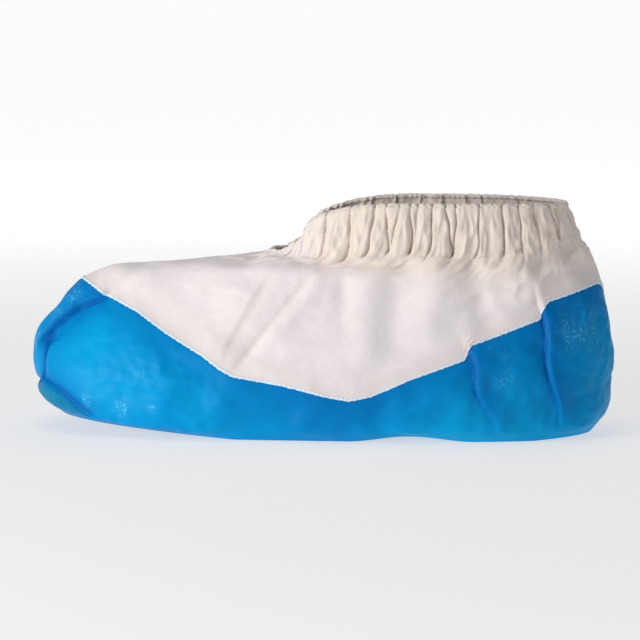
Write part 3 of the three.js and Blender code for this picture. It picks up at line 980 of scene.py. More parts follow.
@dataclass(frozen=True)
class NonwovenFinish:
    """White spunbonded nonwoven: cloudy fibres and small bond points."""

    name: str = "white_nonwoven"
    body: Colour = (0.85, 0.785, 0.785, 1)
    thin: Colour = (0.77, 0.71, 0.71, 1)
    thick: Colour = (0.86, 0.79, 0.79, 1)
    bond: Colour = (0.62, 0.57, 0.57, 1)
    cream: Colour = (0.75, 0.655, 0.575, 1)
    # hollow: painted shade in folds and crease lines and along the weld
    painted_shade: Colour = (0.48, 0.42, 0.38, 1)
    thin_share: float = 0.6
    thin_step: Pair = (0.35, 0.75)
    thick_share: float = 0.25
    thick_step: Pair = (0.45, 0.7)
    bond_share: float = 0.04
    bond_step: Pair = (0.55, 0.9)
    painted_shade_share: float = 0.8
    cloud_scale: float = 140
    broad_scale: float = 26
    roughness: Pair = (0.78, 0.12)
    pitch: float = 0.0017
    bonds: float = 0.00004
    fibre_scale: float = 900
    fibre_stretch: Triple = (1, 0.25, 1)
    fibres: float = 0.00006
    crinkle_scale: float = 70
    crinkle: float = 0.0014

    def make(self) -> bpy.types.Material:
        """Builds the material.

        Returns:
            The nonwoven's material.
        """
        sheet = ShaderSheet(self.name)
        across, up = sheet.round_and_up()
        wave = math.pi / self.pitch
        points = sheet.maths("SINE", across * wave) * sheet.maths("SINE", up * wave)
        points = sheet.step(sheet.maths("ABSOLUTE", points), *self.bond_step)
        fibres = sheet.noise(self.fibre_scale, 4, 0.7, True, self.fibre_stretch)
        clouds = sheet.noise(self.cloud_scale, 4, 0.6)
        broad = sheet.noise(self.broad_scale, 3)
        white = sheet.coats(
            self.body,
            (self.thin_share * sheet.step(clouds, *self.thin_step), self.thin),
            (self.thick_share * sheet.step(broad, *self.thick_step), self.thick),
            (self.bond_share * points, self.bond),
            (sheet.attribute(SHADE_AND_CREAM_NAME), self.cream),
            # painted shade in the folds, the gathers' crease lines and along the weld
            (self.painted_shade_share * sheet.attribute(FOLD_SHADE_NAME), self.painted_shade),
        )
        even, cloudy = self.roughness
        crinkle = sheet.bump(sheet.noise(self.crinkle_scale, 5, 0.6), self.crinkle, 0.5)
        weave = sheet.bump(fibres, self.fibres, 0.6, crinkle)
        varying = {
            "Base Color": white,
            "Roughness": even + cloudy * clouds,
            "Normal": sheet.bump(1 - points, self.bonds, 0.3, weave),
        }
        fixed = {"Specular IOR Level": 0.2, "Sheen Weight": 0.12, "Sheen Roughness": 0.6}
        return sheet.finish(varying, fixed)


@dataclass(frozen=True)
class WeldFinish:
    """The pressed weld: pale blue, with its small teeth of heat marks."""

    name: str = "pressed_weld"
    pale: Colour = (0.74, 0.85, 0.95, 1)
    mark: Colour = (0.48, 0.70, 0.90, 1)
    stain: Colour = (0.78, 0.82, 0.88, 1)
    mark_share: float = 0.5
    mark_step: Pair = (0.1, 0.8)
    stain_share: float = 0.4
    stain_step: Pair = (0.5, 0.75)
    stain_scale: float = 160
    roughness: Pair = (0.5, 0.2)
    pitch: float = 0.0026
    mark_depth: float = 0.00015

    def make(self) -> bpy.types.Material:
        """Builds the material.

        Returns:
            The weld's material.
        """
        sheet = ShaderSheet(self.name)
        across, _ = sheet.round_and_up()
        marks = sheet.step(sheet.maths("SINE", across * (FULL_TURN / self.pitch)), *self.mark_step)
        stains = sheet.noise(self.stain_scale, 3)
        stained = self.stain_share * sheet.step(stains, *self.stain_step)
        colour = sheet.coats(self.pale, (self.mark_share * marks, self.mark), (stained, self.stain))
        even, cloudy = self.roughness
        varying = {
            "Base Color": colour,
            "Roughness": even + cloudy * stains,
            "Normal": sheet.bump(marks, self.mark_depth, 0.8),
        }
        return sheet.finish(varying, {"Specular IOR Level": 0.3})


@dataclass(frozen=True)
class ElasticFinish:
    """Nonwoven drawn tight round the elastic: creamy, with painted shade between its ruffles."""

    name: str = "covered_elastic"
    body: Colour = (0.74, 0.66, 0.59, 1)
    # groove: painted shade between the ruffles
    groove_shade: Colour = (0.36, 0.31, 0.26, 1)
    fluff: Colour = (0.80, 0.74, 0.68, 1)
    groove_shade_share: float = 0.85
    fluff_share: float = 0.3
    fluff_scale: float = 300
    roughness: Pair = (0.8, 0.1)
    fibre_scale: float = 1500
    fibres: float = 0.0001

    def make(self) -> bpy.types.Material:
        """Builds the material.

        Returns:
            The elastic's material.
        """
        sheet = ShaderSheet(self.name)
        clouds = sheet.noise(self.fluff_scale, 4)
        colour = sheet.coats(
            self.body,
            (self.groove_shade_share * sheet.attribute(FOLD_SHADE_NAME), self.groove_shade),
            (self.fluff_share * clouds, self.fluff),
        )
        even, cloudy = self.roughness
        varying = {
            "Base Color": colour,
            "Roughness": even + cloudy * clouds,
            "Normal": sheet.bump(sheet.noise(self.fibre_scale, 3), self.fibres, 0.6),
        }
        return sheet.finish(varying, {"Specular IOR Level": 0.2, "Sheen Weight": 0.1})


Finish = FilmFinish | NonwovenFinish | WeldFinish | ElasticFinish


def select_only(piece: bpy.types.Object | None) -> None:
    """Deselects everything, then selects one piece and makes it active.

    Args:
        piece: The piece, or None to leave nothing selected.
    """
    bpy.ops.object.select_all(action="DESELECT")
    if piece is not None:
        piece.select_set(True)
        bpy.context.view_layer.objects.active = piece


def floats(values: np.ndarray) -> np.ndarray:
    """Values in one row, as Blender stores them."""
    return values.astype(np.float32).ravel()


class ClothPiece:
    """What every laid piece shares: a grid primitive laid on the cloth, merged and thickened.

    Crowding is how much closer together the columns stand at the toe and at the heel. The row
    whose length round the cloth the UV map follows is the measured row.
    """

    name: str
    node: str
    slot: str
    cloth: ClothForm
    finish: Finish
    wall: float = 0.0
    measured_row: int = 24
    sharp_angle: float = 75

    def lay(
        self,
        points: np.ndarray,
        along: np.ndarray,
        up: np.ndarray,
        marks: Mapping[str, np.ndarray],
    ) -> bpy.types.Object:
        """Lays a grid primitive on the cloth, closes it and gives it its wall.

        Args:
            points: Places in millimetres, by row and column. The last column is the first again.
            along: Millimetres round the cloth, by column.
            up: Millimetres up the cloth, by row and column.
            marks: Numbers that the material reads, by row and column.

        Returns:
            The piece.
        """
        rows, columns = points.shape[:2]
        select_only(None)
        bpy.ops.mesh.primitive_grid_add(x_subdivisions=columns - 1, y_subdivisions=rows - 1, size=2.0)
        piece = bpy.context.object
        piece.name = piece.data.name = self.name
        mesh = piece.data
        mesh.vertices.foreach_set("co", floats(points * MM))
        corners = np.zeros(len(mesh.loops), np.int32)
        mesh.loops.foreach_get("vertex_index", corners)
        flat = np.stack([np.broadcast_to(along, up.shape), up], axis=-1) * MM
        uv = mesh.uv_layers[0]
        uv.name = UV_NAME
        uv.data.foreach_set("uv", floats(flat.reshape(-1, 2)[corners]))
        for key, values in marks.items():
            mark = mesh.attributes.new(key, "FLOAT", "POINT")
            mark.data.foreach_set("value", floats(values))
        mesh.update()
        self.close(piece)
        if self.wall:
            self.thicken(piece)
        return piece

    def close(self, piece: bpy.types.Object) -> None:
        """Merges doubles along the seams and points the faces outwards.

        Args:
            piece: The laid grid.
        """
        select_only(piece)
        bpy.ops.object.mode_set(mode="EDIT")
        bpy.ops.mesh.select_all(action="SELECT")
        bpy.ops.mesh.remove_doubles(threshold=MERGE_DISTANCE)
        bpy.ops.mesh.normals_make_consistent(inside=False)
        bpy.ops.object.mode_set(mode="OBJECT")
        bpy.ops.object.shade_smooth_by_angle(angle=math.radians(self.sharp_angle))

    def thicken(self, piece: bpy.types.Object) -> None:
        """Gives the sheet its wall, inwards.

        Args:
            piece: The closed grid, which is the active object.
        """
        solid = piece.modifiers.new("wall", "SOLIDIFY")
        solid.thickness = self.wall * MM
        solid.offset = -1
        bpy.ops.object.modifier_apply(modifier=solid.name)
        bpy.ops.object.shade_smooth_by_angle(angle=math.radians(self.sharp_angle))

    def dress(self, piece: bpy.types.Object) -> None:
        """Gives the piece its finish and its place in the frame.

        Args:
            piece: The laid piece.
        """
        piece.data.materials.clear()
        piece.data.materials.append(self.finish.make())
        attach(piece, "root")
        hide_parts(self.node)
        log.info("%s: %d faces", piece.name, len(piece.data.polygons))


def column_turns(columns: int, toe: float, heel: float) -> np.ndarray:
    """Turns for a piece's columns from heel to heel.

    Args:
        columns: How many columns.
        toe: The crowding at the toe.
        heel: The crowding at the heel.

    Returns:
        The turns.
    """
    share = np.linspace(-0.5, 0.5, columns + 1)
    both = (toe + heel) / 2
    apart = (toe - heel) / 2
    lean = both * np.sin(2 * FULL_TURN * share) / (2 * FULL_TURN)
    lean = lean + apart * np.sin(FULL_TURN * share) / FULL_TURN
    return FULL_TURN * (share - lean)


def row_lengths(points: np.ndarray) -> np.ndarray:
    """Length up the cloth at each row and column, in millimetres."""
    steps = np.linalg.norm(np.diff(points, axis=0), axis=-1)
    return np.concatenate([np.zeros((1, points.shape[1])), np.cumsum(steps, axis=0)])


def round_lengths(points: np.ndarray) -> np.ndarray:
    """Length round one row, from its middle.

    Args:
        points: The row's places in millimetres.

    Returns:
        Millimetres, by column.
    """
    steps = np.linalg.norm(np.diff(points, axis=0), axis=-1)
    lengths = np.concatenate([[0], np.cumsum(steps)])
    return lengths - lengths[-1] / 2


@dataclass
class FilmBottom(ClothPiece):
    """The blue film: a sole that turns up into the sides as far as the weld line."""

    cloth: ClothForm
    finish: Finish = FilmFinish()
    name: str = "film_bottom"
    node: str = "film_sole"
    slot: str = "film"
    columns: int = 480
    sole_rows: int = 12
    side_rows: int = 74
    crowding: Pair = (0.34, 0.2)
    low_crowding: float = 1.25
    wall: float = 0.6
    spine_share: float = 0.72
    ripples: tuple[Crumple, ...] = (Crumple(0.8, 26, 11, True), Crumple(1.4, 70, 12, True))
    ripple_squeeze: Triple = (0.4, 1, 1)
    ripple_edge: float = 0.3
    dents: tuple[Crumple, ...] = (
        Crumple(0.9, 44, 3),
        Crumple(-0.9, 28, 4, True),
        Crumple(-0.5, 12, 5, True),
        Crumple(-0.15, 6, 6, True),
    )
    fullness: float = 0.9
    toe_dents: float = 0.35
    toe_dents_span: Pair = (100, 140)
    dents_end: Pair = (-6, 0.2)
    lap_under: float = 2.0
    lap_depth: float = 1.0
    lap_span: Pair = (-0.4, 0.6)
    # Painted shade on the film: under the weld, along the sides towards the heel, and at the toe
    film_weld_shade: float = 0.5
    weld_reach: float = 22
    film_side_shade: float = 0.3
    film_side_shade_span: Pair = (35, 80)
    film_side_shade_rise: Pair = (2, 18)
    film_toe_shade: float = 0.55
    film_toe_shade_span: Pair = (118, 152)
    stains: Crumple = Crumple(0.1, 70, 8)
    # Painted shade on the toe's lip, in teal
    lip_shade_teal: float = 0.9
    lip_span: Pair = (108, 122)
    lip_height: Pair = (25, 29)
    sole_teal: float = 0.4
    sole_edge: float = 12
    flat: Pair = (0.41, 0.20)
    flat_area: float = 0.078

    def build(self) -> bpy.types.Object:
        """Lays the film.

        Returns:
            The finished piece.
        """
        turns = column_turns(self.columns, *self.crowding)
        sole = self.sole_patch(turns)
        weld = self.cloth.weld_level(turns)
        top = self.cloth.level_above(turns, weld, self.lap_under)
        rise = np.linspace(0, 1, self.side_rows + 1)[:, None] ** self.low_crowding
        turn = self.cloth.lean(np.broadcast_to(turns, (len(rise), len(turns))), top[None] * rise)
        weld, top = np.interp(turn, turns, weld), np.interp(turn, turns, top)
        level = top * rise
        bare, normal = self.cloth.place(turn, level)
        move, shade, layers = self.cloth.fold_shift(bare, normal)
        dents = relief(self.dents, bare) + self.fullness
        dents = dents * mix(1.0, self.toe_dents, smooth(bare[..., 0], *self.toe_dents_span))
        laps = (level - weld) / (top - weld)
        dents = dents * fall(laps, *self.dents_end) - self.lap_depth * smooth(laps, *self.lap_span)
        held = smooth(level, 0, 1)
        side = bare + (move + normal * dents[..., None]) * held[..., None]
        points = np.concatenate([sole, side])
        up = row_lengths(np.concatenate([sole, bare]))
        up = up - up[self.sole_rows][None]
        no_fold = np.zeros(sole.shape[:2])
        doubled = np.concatenate([no_fold, layers * held])
        marks = {
            FOLD_SHADE_NAME: np.concatenate([no_fold, shade * held]),
            LAYER_NAME: doubled,
            GLINT_NAME: self.glint_share(points),
            SHADE_AND_CREAM_NAME: self.tone(points, up, doubled),
            TEAL_AND_LIP_SHADE_NAME: self.teal(points, up, doubled),
        }
        return self.lay(points, round_lengths(bare[self.measured_row]), up, marks)

    def sole_patch(self, turns: np.ndarray) -> np.ndarray:
        """The rows under the foot, from the spine to just inside the sole's edge.

        Args:
            turns: The columns' turns.

        Returns:
            Places in millimetres, by row and column.
        """
        edge = self.cloth.ring(0, turns)
        shares = np.linspace(0, 1, self.sole_rows + 1)[:-1, None]
        x = edge[None, :, 0] * mix(self.spine_share, 1.0, shares)
        y = edge[None, :, 1] * shares
        sole = np.stack([x, y, self.cloth.sole_height(x, shares)], axis=-1)
        ripple = relief(self.ripples, sole * self.ripple_squeeze)
        sole[..., 2] += ripple * smooth(1 - shares, 0, self.ripple_edge)
        return sole

    def tone(self, points: np.ndarray, up: np.ndarray, doubled: np.ndarray) -> np.ndarray:
        """Painted shade under the weld, along the sides and at the toe, with random stains.

        Args:
            points: Places in millimetres.
            up: Millimetres up the cloth from the sole's edge.
            doubled: How far the film is doubled, from 0 to 1.

        Returns:
            The painted shade and stains, from 0 to 1.
        """
        x = points[..., 0]
        tone = self.film_weld_shade * bell(up[-1][None] - up, self.weld_reach)
        side = fall(x, *self.film_side_shade_span) * smooth(up, *self.film_side_shade_rise)
        toe = smooth(x, *self.film_toe_shade_span) * (1 - doubled)
        tone = tone + self.film_side_shade * side + self.film_toe_shade * toe + self.stains.at(points)
        return np.clip(tone, 0, 1)

    def teal(self, points: np.ndarray, up: np.ndarray, doubled: np.ndarray) -> np.ndarray:
        """How greenish the film looks: painted shade on the toe's lip, and a tint under the foot.

        Args:
            points: Places in millimetres.
            up: Millimetres up the cloth from the sole's edge.
            doubled: How far the film is doubled, from 0 to 1.

        Returns:
            The share of teal, from 0 to 1.
        """
        lip = doubled * smooth(points[..., 0], *self.lip_span) * fall(points[..., 2], *self.lip_height)
        return self.lip_shade_teal * lip + self.sole_teal * smooth(-up, 0, self.sole_edge)

    def glint_share(self, points: np.ndarray) -> np.ndarray:
        """How far each place lies in one of the glints.

        Args:
            points: Places in millimetres.

        Returns:
            The share, from 0 to 1.
        """
        share = np.zeros(points.shape[:-1])
        for *centre, radius in GLINTS:
            share = np.maximum(share, bell(np.linalg.norm(points - np.array(centre), axis=-1), radius))
        return share

    def dress(self, piece: bpy.types.Object) -> None:
        super().dress(piece)


@dataclass
class NonwovenUpper(ClothPiece):
    """The white upper, from the weld line to the neck."""

    cloth: ClothForm
    finish: Finish = NonwovenFinish()
    name: str = "upper_panel"
    node: str = "nonwoven_upper"
    slot: str = "nonwoven"
    columns: int = 560
    rows: int = 74
    crowding: Pair = (0.22, 0.1)
    wall: float = 0.7
    lap_over: float = 0.3
    past_neck: float = 1.0
    tuck_in: float = 0.1
    tuck_in_span: Pair = (-0.6, 1)
    dents: tuple[Crumple, ...] = (
        Crumple(1.1, 56, 23),
        Crumple(0.5, 30, 24),
        Crumple(-0.15, 15, 25, True),
    )
    fullness: float = 0.3
    flat_at_weld: float = 22
    flat_at_neck: float = 8
    gathers_from: float = 14
    wrinkle: Crumple = Crumple(1.3, 19, 26, True)
    wrinkle_middle: float = 0.52
    wrinkle_reach: Pair = (8, 50)
    wrinkle_span: Pair = (-12, 12)
    # Painted shade in the folds and along the gathers' crease lines
    fold_painted_shade: float = 0.3
    crease_line_shade_share: float = 0.7
    weld_shade: float = 0.25
    toe_shade: float = 0.18
    toe_shade_span: Pair = (30, 60)
    shade_reach: float = 12
    cream_rise: Pair = (-34, 2)
    flat: Pair = (0.40, 0.115)
    flat_area: float = 0.042

    def build(self) -> bpy.types.Object:
        """Lays the upper.

        Returns:
            The finished piece.
        """
        turns = column_turns(self.columns, *self.crowding)
        low = self.cloth.level_above(turns, self.cloth.weld_level(turns), -self.lap_over)
        neck = np.full_like(turns, float(NECK))
        high = self.cloth.level_above(turns, neck, self.past_neck)
        level = mix(low[None], high[None], np.linspace(0, 1, self.rows + 1)[:, None])
        turn = np.broadcast_to(turns, level.shape)
        bare, normal = self.cloth.place(turn, level)
        move, shade, _ = self.cloth.fold_shift(bare, normal)
        x = bare[..., 0]
        from_weld = row_lengths(bare)
        to_top = from_weld[-1][None] - from_weld
        height = self.past_neck - to_top
        dents = relief(self.dents, bare) + self.fullness
        near_ankle = fall(to_top, *self.wrinkle_reach) * fall(x, *self.wrinkle_span)
        dents = dents - near_ankle * (self.wrinkle.at(bare) - self.wrinkle_middle)
        dents = dents * smooth(from_weld, 0, self.flat_at_weld) * smooth(to_top, 0, self.flat_at_neck)
        rim = self.cloth.smooth_point(turns, np.full_like(turns, float(RIM)))
        hem = np.linalg.norm(rim - bare[-1], axis=-1)
        # knots: the painted shade along the gathers' crease lines
        lift, knots = Gathering(self.cloth).lift(turn, height, hem[None] + to_top)
        lift = lift * smooth(from_weld, 0, self.gathers_from)
        lift = lift - self.tuck_in * smooth(height, *self.tuck_in_span)
        points = bare + move + normal * (dents + lift)[..., None]
        # Painted shade along the weld, more so towards the toe, then in the folds and crease lines
        edge_shade = self.weld_shade + self.toe_shade * smooth(x, *self.toe_shade_span)
        edge_shade = edge_shade * bell(from_weld, self.shade_reach)
        dark = self.fold_painted_shade * shade + self.crease_line_shade_share * knots + edge_shade
        marks = {
            FOLD_SHADE_NAME: np.clip(dark, 0, 1),
            SHADE_AND_CREAM_NAME: self.cloth.cream_share(x) * smooth(height, *self.cream_rise),
        }
        return self.lay(points, round_lengths(bare[self.measured_row]), from_weld, marks)

    def dress(self, piece: bpy.types.Object) -> None:
        super().dress(piece)


@dataclass(frozen=True)
class GatherCrease:
    """One crease of the gathers.

    Place is how far round the neck it lies, and start how far above the neck its line ends.
    Reach is how far its valley runs on below that, with its sway to one side. Fan is its lean
    higher up, mark the depth and the painted shade of its line, and size that of the
    rounding beside it.
    """

    place: float
    depth: float
    width: float
    start: float
    reach: float
    sway: float
    fan: float
    mark: float
    size: float


@dataclass
class Gathering:
    """The gathers: broad uneven lobes, with thin creases between them that end near the neck.

    A crease is a soft valley with a sharp line in it, and a small knot where the line ends.
    """

    cloth: ClothForm
    seed: int = 41
    lobe: Pair = (8.0, 17.0)
    depth: Pair = (1.1, 2.2)
    width: Pair = (0.45, 0.85)
    start: Pair = (-1.0, 5.0)
    reach: Pair = (3.0, 7.0)
    long_reach: Pair = (16.0, 30.0)
    long_share: float = 0.3
    sway: Pair = (-7.0, 7.0)
    sway_over: float = 30.0
    wander: float = 0.08
    wander_rate: float = 0.35
    fan: Pair = (-0.1, 0.1)
    mark: Pair = (0.35, 1.0)
    fork_share: float = 0.28
    fork_fan: Pair = (0.06, 0.2)
    fork_size: float = 0.7
    fork_reach: float = 2.0
    puff: float = 1.0
    puff_span: Pair = (-24, 2)
    valley_power: float = 1.3
    bulge: float = 0.26
    bulge_width: float = 4.0
    bulge_widen: float = 0.2
    bulge_power: float = 1.6
    line_depth: float = 0.5
    line_width: float = 0.55
    # The width of the painted shade along a crease line
    line_shade_width: float = 0.6
    line_end: Pair = (-2.0, 0.5)
    knot_height: float = 0.6
    knot_area: float = 1.6
    crush: tuple[Crumple, ...] = (Crumple(1.0, 13, 51, True), Crumple(0.5, 6.5, 52, True))
    crush_middle: float = 0.6
    crush_stretch: float = 0.6
    crush_span: Pair = (-26, 4)
    widen_over: float = 5.0
    elastic_share: float = 0.5
    elastic_over: float = 8.0
    creases: list[GatherCrease] = field(init=False)

    def __post_init__(self) -> None:
        """Draws the creases: one after each lobe, some of which fork above the neck."""
        chance = np.random.default_rng(self.seed)
        mean = sum(self.lobe) / 2
        count = round(self.cloth.neck_round / mean)
        lobes = chance.uniform(*self.lobe, count)
        places = np.cumsum(lobes) * self.cloth.neck_round / np.sum(lobes)
        self.creases = []
        for place in places:
            main = self.draw(chance, place)
            if chance.uniform() < self.fork_share:
                fan = chance.uniform(*self.fork_fan)
                fork = replace(main, fan=main.fan + fan, size=self.fork_size, reach=self.fork_reach)
                self.creases.append(replace(fork, depth=main.depth * self.fork_size))
                main = replace(main, fan=main.fan - fan)
            self.creases.append(main)

    def draw(self, chance: np.random.Generator, place: float) -> GatherCrease:
        """Draws one crease by chance.

        Args:
            chance: The seeded source of chance.
            place: Millimetres round the neck.

        Returns:
            The crease.
        """
        is_long = chance.uniform() < self.long_share
        return GatherCrease(
            place=place,
            depth=chance.uniform(*self.depth),
            width=chance.uniform(*self.width),
            start=chance.uniform(*self.start),
            reach=chance.uniform(*(self.long_reach if is_long else self.reach)),
            sway=chance.uniform(*self.sway),
            fan=chance.uniform(*self.fan),
            mark=chance.uniform(*self.mark),
            size=1.0,
        )

    def away_from(self, crease: GatherCrease, place: np.ndarray, height: np.ndarray) -> np.ndarray:
        """How far round the neck each place lies from a crease.

        Args:
            crease: The crease.
            place: Millimetres round the neck.
            height: Millimetres above the neck.

        Returns:
            Millimetres, to either side.
        """
        above = height - crease.start
        lean = crease.sway * np.maximum(0, -above) / self.sway_over + crease.fan * np.maximum(0, above)
        lean = lean + crease.sway * self.wander * np.sin(self.wander_rate * height + crease.place)
        whole = self.cloth.neck_round
        return np.abs(np.mod(place - crease.place - lean + whole / 2, whole) - whole / 2)

    def lift(
        self, turn: np.ndarray, height: np.ndarray, below_rim: np.ndarray
    ) -> tuple[np.ndarray, np.ndarray]:
        """How far the gathers push the cloth outwards.

        Args:
            turn: Turns.
            height: Millimetres above the neck, of the same shape.
            below_rim: Millimetres below the rim, of the same shape.

        Returns:
            The push in millimetres, and the painted shade along the crease lines.
        """
        place = self.cloth.neck_place(turn)
        push = self.puff * smooth(height, *self.puff_span)
        shade = np.zeros_like(push)
        for crease in self.creases:
            away = self.away_from(crease, place, height)
            above = height - crease.start
            down = np.maximum(0, -above)
            width = crease.width * (1 + down / self.widen_over)
            bulge_width = self.bulge_width + self.bulge_widen * down
            valley = crease.depth * bell(away, width, self.valley_power)
            valley = valley + self.bulge * crease.size * bell(away, bulge_width, self.bulge_power)
            line = crease.mark * smooth(above, *self.line_end)
            knot = np.exp(-(away**2 + (above - self.line_end[0]) ** 2) / self.knot_area)
            push = push - valley * np.exp(-down / crease.reach) + self.knot_height * knot
            push = push - self.line_depth * line * bell(away, self.line_width)
            shade = np.maximum(shade, line * bell(away, self.line_shade_width))
        spots = np.stack([place, self.crush_stretch * height, 0 * place], axis=-1)
        crush = relief(self.crush, spots) - self.crush_middle
        push = push - crush * smooth(height, *self.crush_span)
        held = mix(self.elastic_share, 1.0, smooth(below_rim, 0, self.elastic_over))
        return push * held, np.clip(shade, 0, 1)


@dataclass
class GatheredHem(ClothPiece):
    """The gathered band from the neck to the rim, which turns in over the elastic."""

    cloth: ClothForm
    finish: Finish = NonwovenFinish(name="cream_hem")
    name: str = "gathered_band"
    node: str = "gathered_hem"
    slot: str = "hem"
    columns: int = 900
    rows: int = 26
    wall: float = 0.8
    dents: Crumple = Crumple(0.35, 12, 33)
    flat_at_neck: float = 6
    # Painted shade along the gathers' crease lines
    crease_shade_share: float = 0.7
    flat: Pair = (0.52, 0.027)

    def build(self) -> bpy.types.Object:
        """Lays the band.

        Returns:
            The finished piece.
        """
        turns = self.cloth.even_turns(self.columns)
        rise = np.linspace(0, 1, self.rows + 1)[:, None]
        level = mix(float(NECK), float(RIM), rise) * np.ones_like(turns)[None]
        turn = np.broadcast_to(turns, level.shape)
        bare, normal = self.cloth.place(turn, level)
        height = row_lengths(bare)
        dents = self.dents.at(bare) * smooth(height, 0, self.flat_at_neck)
        # folds: the painted shade along the crease lines
        lift, folds = Gathering(self.cloth).lift(turn, height, height[-1][None] - height)
        points = bare + normal * (dents + lift)[..., None]
        marks = {
            FOLD_SHADE_NAME: self.crease_shade_share * folds,
            SHADE_AND_CREAM_NAME: self.cloth.cream_share(bare[..., 0]),
        }
        return self.lay(points, round_lengths(bare[0]), height, marks)

    def dress(self, piece: bpy.types.Object) -> None:
        super().dress(piece)


@dataclass
class WeldLine(ClothPiece):
    """The pressed weld: a thin ribbon with small uneven teeth along its lower edge."""

    cloth: ClothForm
    finish: Finish = WeldFinish()
    name: str = "weld_line"
    node: str = "weld_seam"
    slot: str = "weld"
    columns: int = 1400
    rows: int = 4
    crowding: Pair = (0.34, 0.2)
    wall: float = 0.35
    above: float = 0.6
    below: float = 0.4
    tooth: float = 0.35
    tooth_pitch: float = 2.6
    uneven: float = 0.18
    uneven_rates: Pair = (1.7, 0.31)
    lift: float = 0.4

    def build(self) -> bpy.types.Object:
        """Lays the weld.

        Returns:
            The finished piece.
        """
        turns = column_turns(self.columns, *self.crowding)
        weld = self.cloth.weld_level(turns)
        along = round_lengths(self.cloth.smooth_point(turns, weld))
        fast, slow = (np.sin(along * rate) for rate in self.uneven_rates)
        teeth = self.below + self.tooth * np.abs(np.sin(math.pi * along / self.tooth_pitch))
        low = self.cloth.level_above(turns, weld, -teeth - self.uneven * fast * slow)
        high = self.cloth.level_above(turns, weld, self.above)
        level = mix(low[None], high[None], np.linspace(0, 1, self.rows + 1)[:, None])
        bare, normal = self.cloth.place(np.broadcast_to(turns, level.shape), level)
        move, shade, _ = self.cloth.fold_shift(bare, normal)
        return self.lay(bare + move + normal * self.lift, along, row_lengths(bare), {FOLD_SHADE_NAME: shade})


@dataclass
class ElasticRim(ClothPiece):
    """The cloth-covered elastic on the rim, drawn into small ruffles."""

    cloth: ClothForm
    finish: Finish = ElasticFinish()
    name: str = "elastic_rope"
    node: str = "elastic_edge"
    slot: str = "elastic"
    along_steps: int = 1080
    section_steps: int = 12
    radius: float = 1.4
    hem_wall: float = 1.6
    gap: float = -0.5
    gathers_height: float = 26
    ruffles: int = 96
    ruffle_lean: float = 0.7
    ruffle_drift: tuple[tuple[float, int], ...] = ((1.4, 17), (0.9, 31))
    ruffle_size: float = 0.1
    pinch_size: float = 0.25
    # Painted shade between the ruffles, where the rope dips
    groove_shade_dark: float = 0.35
    groove_shade: Pair = (0.3, 1.0)

    def build(self) -> bpy.types.Object:
        """Rolls a grid into a rope along the rim.

        Returns:
            The finished piece.
        """
        turns = self.cloth.even_turns(self.along_steps)
        level = np.full_like(turns, float(RIM))
        bare, normal = self.cloth.place(turns, level)
        up = unit(self.cloth.up_along(turns, level))
        at_rim = np.zeros_like(turns)
        lift, pinch = Gathering(self.cloth).lift(turns, at_rim + self.gathers_height, at_rim)
        centre = bare + normal * (lift - self.hem_wall / 2)[:, None] + up * (self.gap + self.radius)
        angle = np.linspace(0, FULL_TURN, self.section_steps + 1)[:, None]
        turned = np.linspace(-0.5, 0.5, self.along_steps + 1) * FULL_TURN
        drift = sum(size * np.sin(turned * rate) for size, rate in self.ruffle_drift)
        ruffle = np.sin(self.ruffles * turned + self.ruffle_lean * angle + drift)
        swell = self.radius * (1 + self.ruffle_size * ruffle - self.pinch_size * pinch)
        points = centre + normal * (swell * np.cos(angle))[..., None]
        points = points + up * (swell * np.sin(angle))[..., None]
        around = np.broadcast_to(angle * self.radius, swell.shape)
        # Painted shade between the ruffles and where the gathers pinch the rope
        dark = np.clip(self.groove_shade_dark * smooth(-ruffle, *self.groove_shade) + pinch, 0, 1)
        return self.lay(points, round_lengths(centre), around, {FOLD_SHADE_NAME: dark})


@dataclass(frozen=True)
class SoftLight:
    """A square soft light that faces the cover."""

    name: str
    place: Triple
    size: float
    power: float
    colour: Triple

    def build(self, target: Vector) -> None:
        """Makes the light.

        Args:
            target: The place that it faces.
        """
        data = bpy.data.lights.new(self.name, "AREA")
        data.shape, data.size, data.energy, data.color = "SQUARE", self.size, self.power, self.colour
        light = bpy.data.objects.new(self.name, data)
        light.location = self.place
        light.rotation_mode = "QUATERNION"
        light.rotation_quaternion = (target - Vector(self.place)).to_track_quat("-Z", "Y")
        bpy.context.scene.collection.objects.link(light)


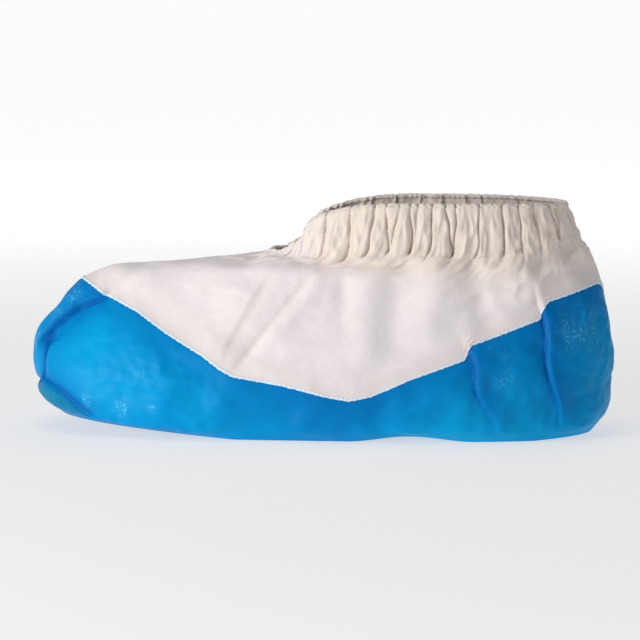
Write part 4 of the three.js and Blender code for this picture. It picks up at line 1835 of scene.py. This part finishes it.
@dataclass
class Studio:
    """The pale floor, the soft lights and the camera."""

    azimuth: float = 186
    elevation: float = 7
    distance: float = 1.5
    lens: float = 152
    target: Triple = (0.002, 0.0, 0.060)
    floor_radius: float = 90
    floor_z: float = -0.0002
    floor_shade: Colour = (0.40, 0.40, 0.405, 1)
    floor_glow: float = 0.85
    floor_near: Colour = (0.66, 0.66, 0.66, 1)
    floor_far: Colour = (1, 1, 1, 1)
    floor_fade: Pair = (0.2, 1.6)
    world_shade: Colour = (0.95, 0.97, 1.0, 1)
    world_strength: float = 0.30
    lights: tuple[SoftLight, ...] = (
        SoftLight("key", (0.96, 0.84, 0.24), 0.45, 11, (1.0, 0.985, 0.97)),
        SoftLight("top", (0.2, 0.3, 1.7), 1.0, 4.5, (1.0, 0.99, 0.98)),
        SoftLight("back", (-0.4, -1.6, 1.2), 1.4, 5, (1.0, 1.0, 1.0)),
    )

    def build(self) -> None:
        """Makes the stage, the lights and the camera."""
        self.make_floor()
        self.make_world()
        for light in self.lights:
            light.build(Vector(self.target))
        self.make_camera()
        view = bpy.context.scene.view_settings
        view.view_transform = "Standard"
        view.look = "None"
        view.exposure = 0.0

    def make_floor(self) -> None:
        """A round floor, a hair under the sole, that glows brighter away from the cover."""
        select_only(None)
        bpy.ops.mesh.primitive_circle_add(vertices=96, radius=self.floor_radius, fill_type="NGON")
        floor = bpy.context.object
        floor.name = "studio_floor"
        for corner in floor.data.vertices:
            corner.co.z = self.floor_z
        sheet = ShaderSheet("studio_floor")
        away = sheet.node(
            "ShaderNodeVectorMath", {"operation": "LENGTH"}, {0: sheet.place(False)}, output=1
        )
        glow = sheet.blend(sheet.step(away, *self.floor_fade), self.floor_near, self.floor_far)
        fixed = {
            "Base Color": self.floor_shade,
            "Roughness": 0.9,
            "Specular IOR Level": 0.1,
            "Emission Strength": self.floor_glow,
        }
        floor.data.materials.append(sheet.finish({"Emission Color": glow}, fixed))

    def make_world(self) -> None:
        """A pale world all round."""
        world = bpy.data.worlds.new("studio_world")
        world.use_nodes = True
        background = world.node_tree.nodes["Background"]
        background.inputs["Color"].default_value = self.world_shade
        background.inputs["Strength"].default_value = self.world_strength
        bpy.context.scene.world = world

    def make_camera(self) -> None:
        """The camera at the viewing angle."""
        turn, tilt = math.radians(self.azimuth), math.radians(self.elevation)
        level = math.cos(tilt)
        back = Vector((math.sin(turn) * level, -math.cos(turn) * level, math.sin(tilt)))
        data = bpy.data.cameras.new("camera")
        data.lens = self.lens
        data.sensor_width = 36
        camera = bpy.data.objects.new("camera", data)
        camera.location = Vector(self.target) + back * self.distance
        camera.rotation_mode = "QUATERNION"
        camera.rotation_quaternion = (-back).to_track_quat("-Z", "Y")
        bpy.context.scene.collection.objects.link(camera)
        bpy.context.scene.camera = camera


def main() -> None:
    """Builds and dresses the cover, then the studio."""
    logging.basicConfig(level=logging.INFO, format="%(name)s %(message)s")
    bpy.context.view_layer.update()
    cloth = ClothForm()
    for maker in (FilmBottom, NonwovenUpper, GatheredHem, WeldLine, ElasticRim):
        part = maker(cloth)
        part.dress(part.build())
    Studio().build()
    select_only(None)
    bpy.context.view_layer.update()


if __name__ == "__main__":
    main()
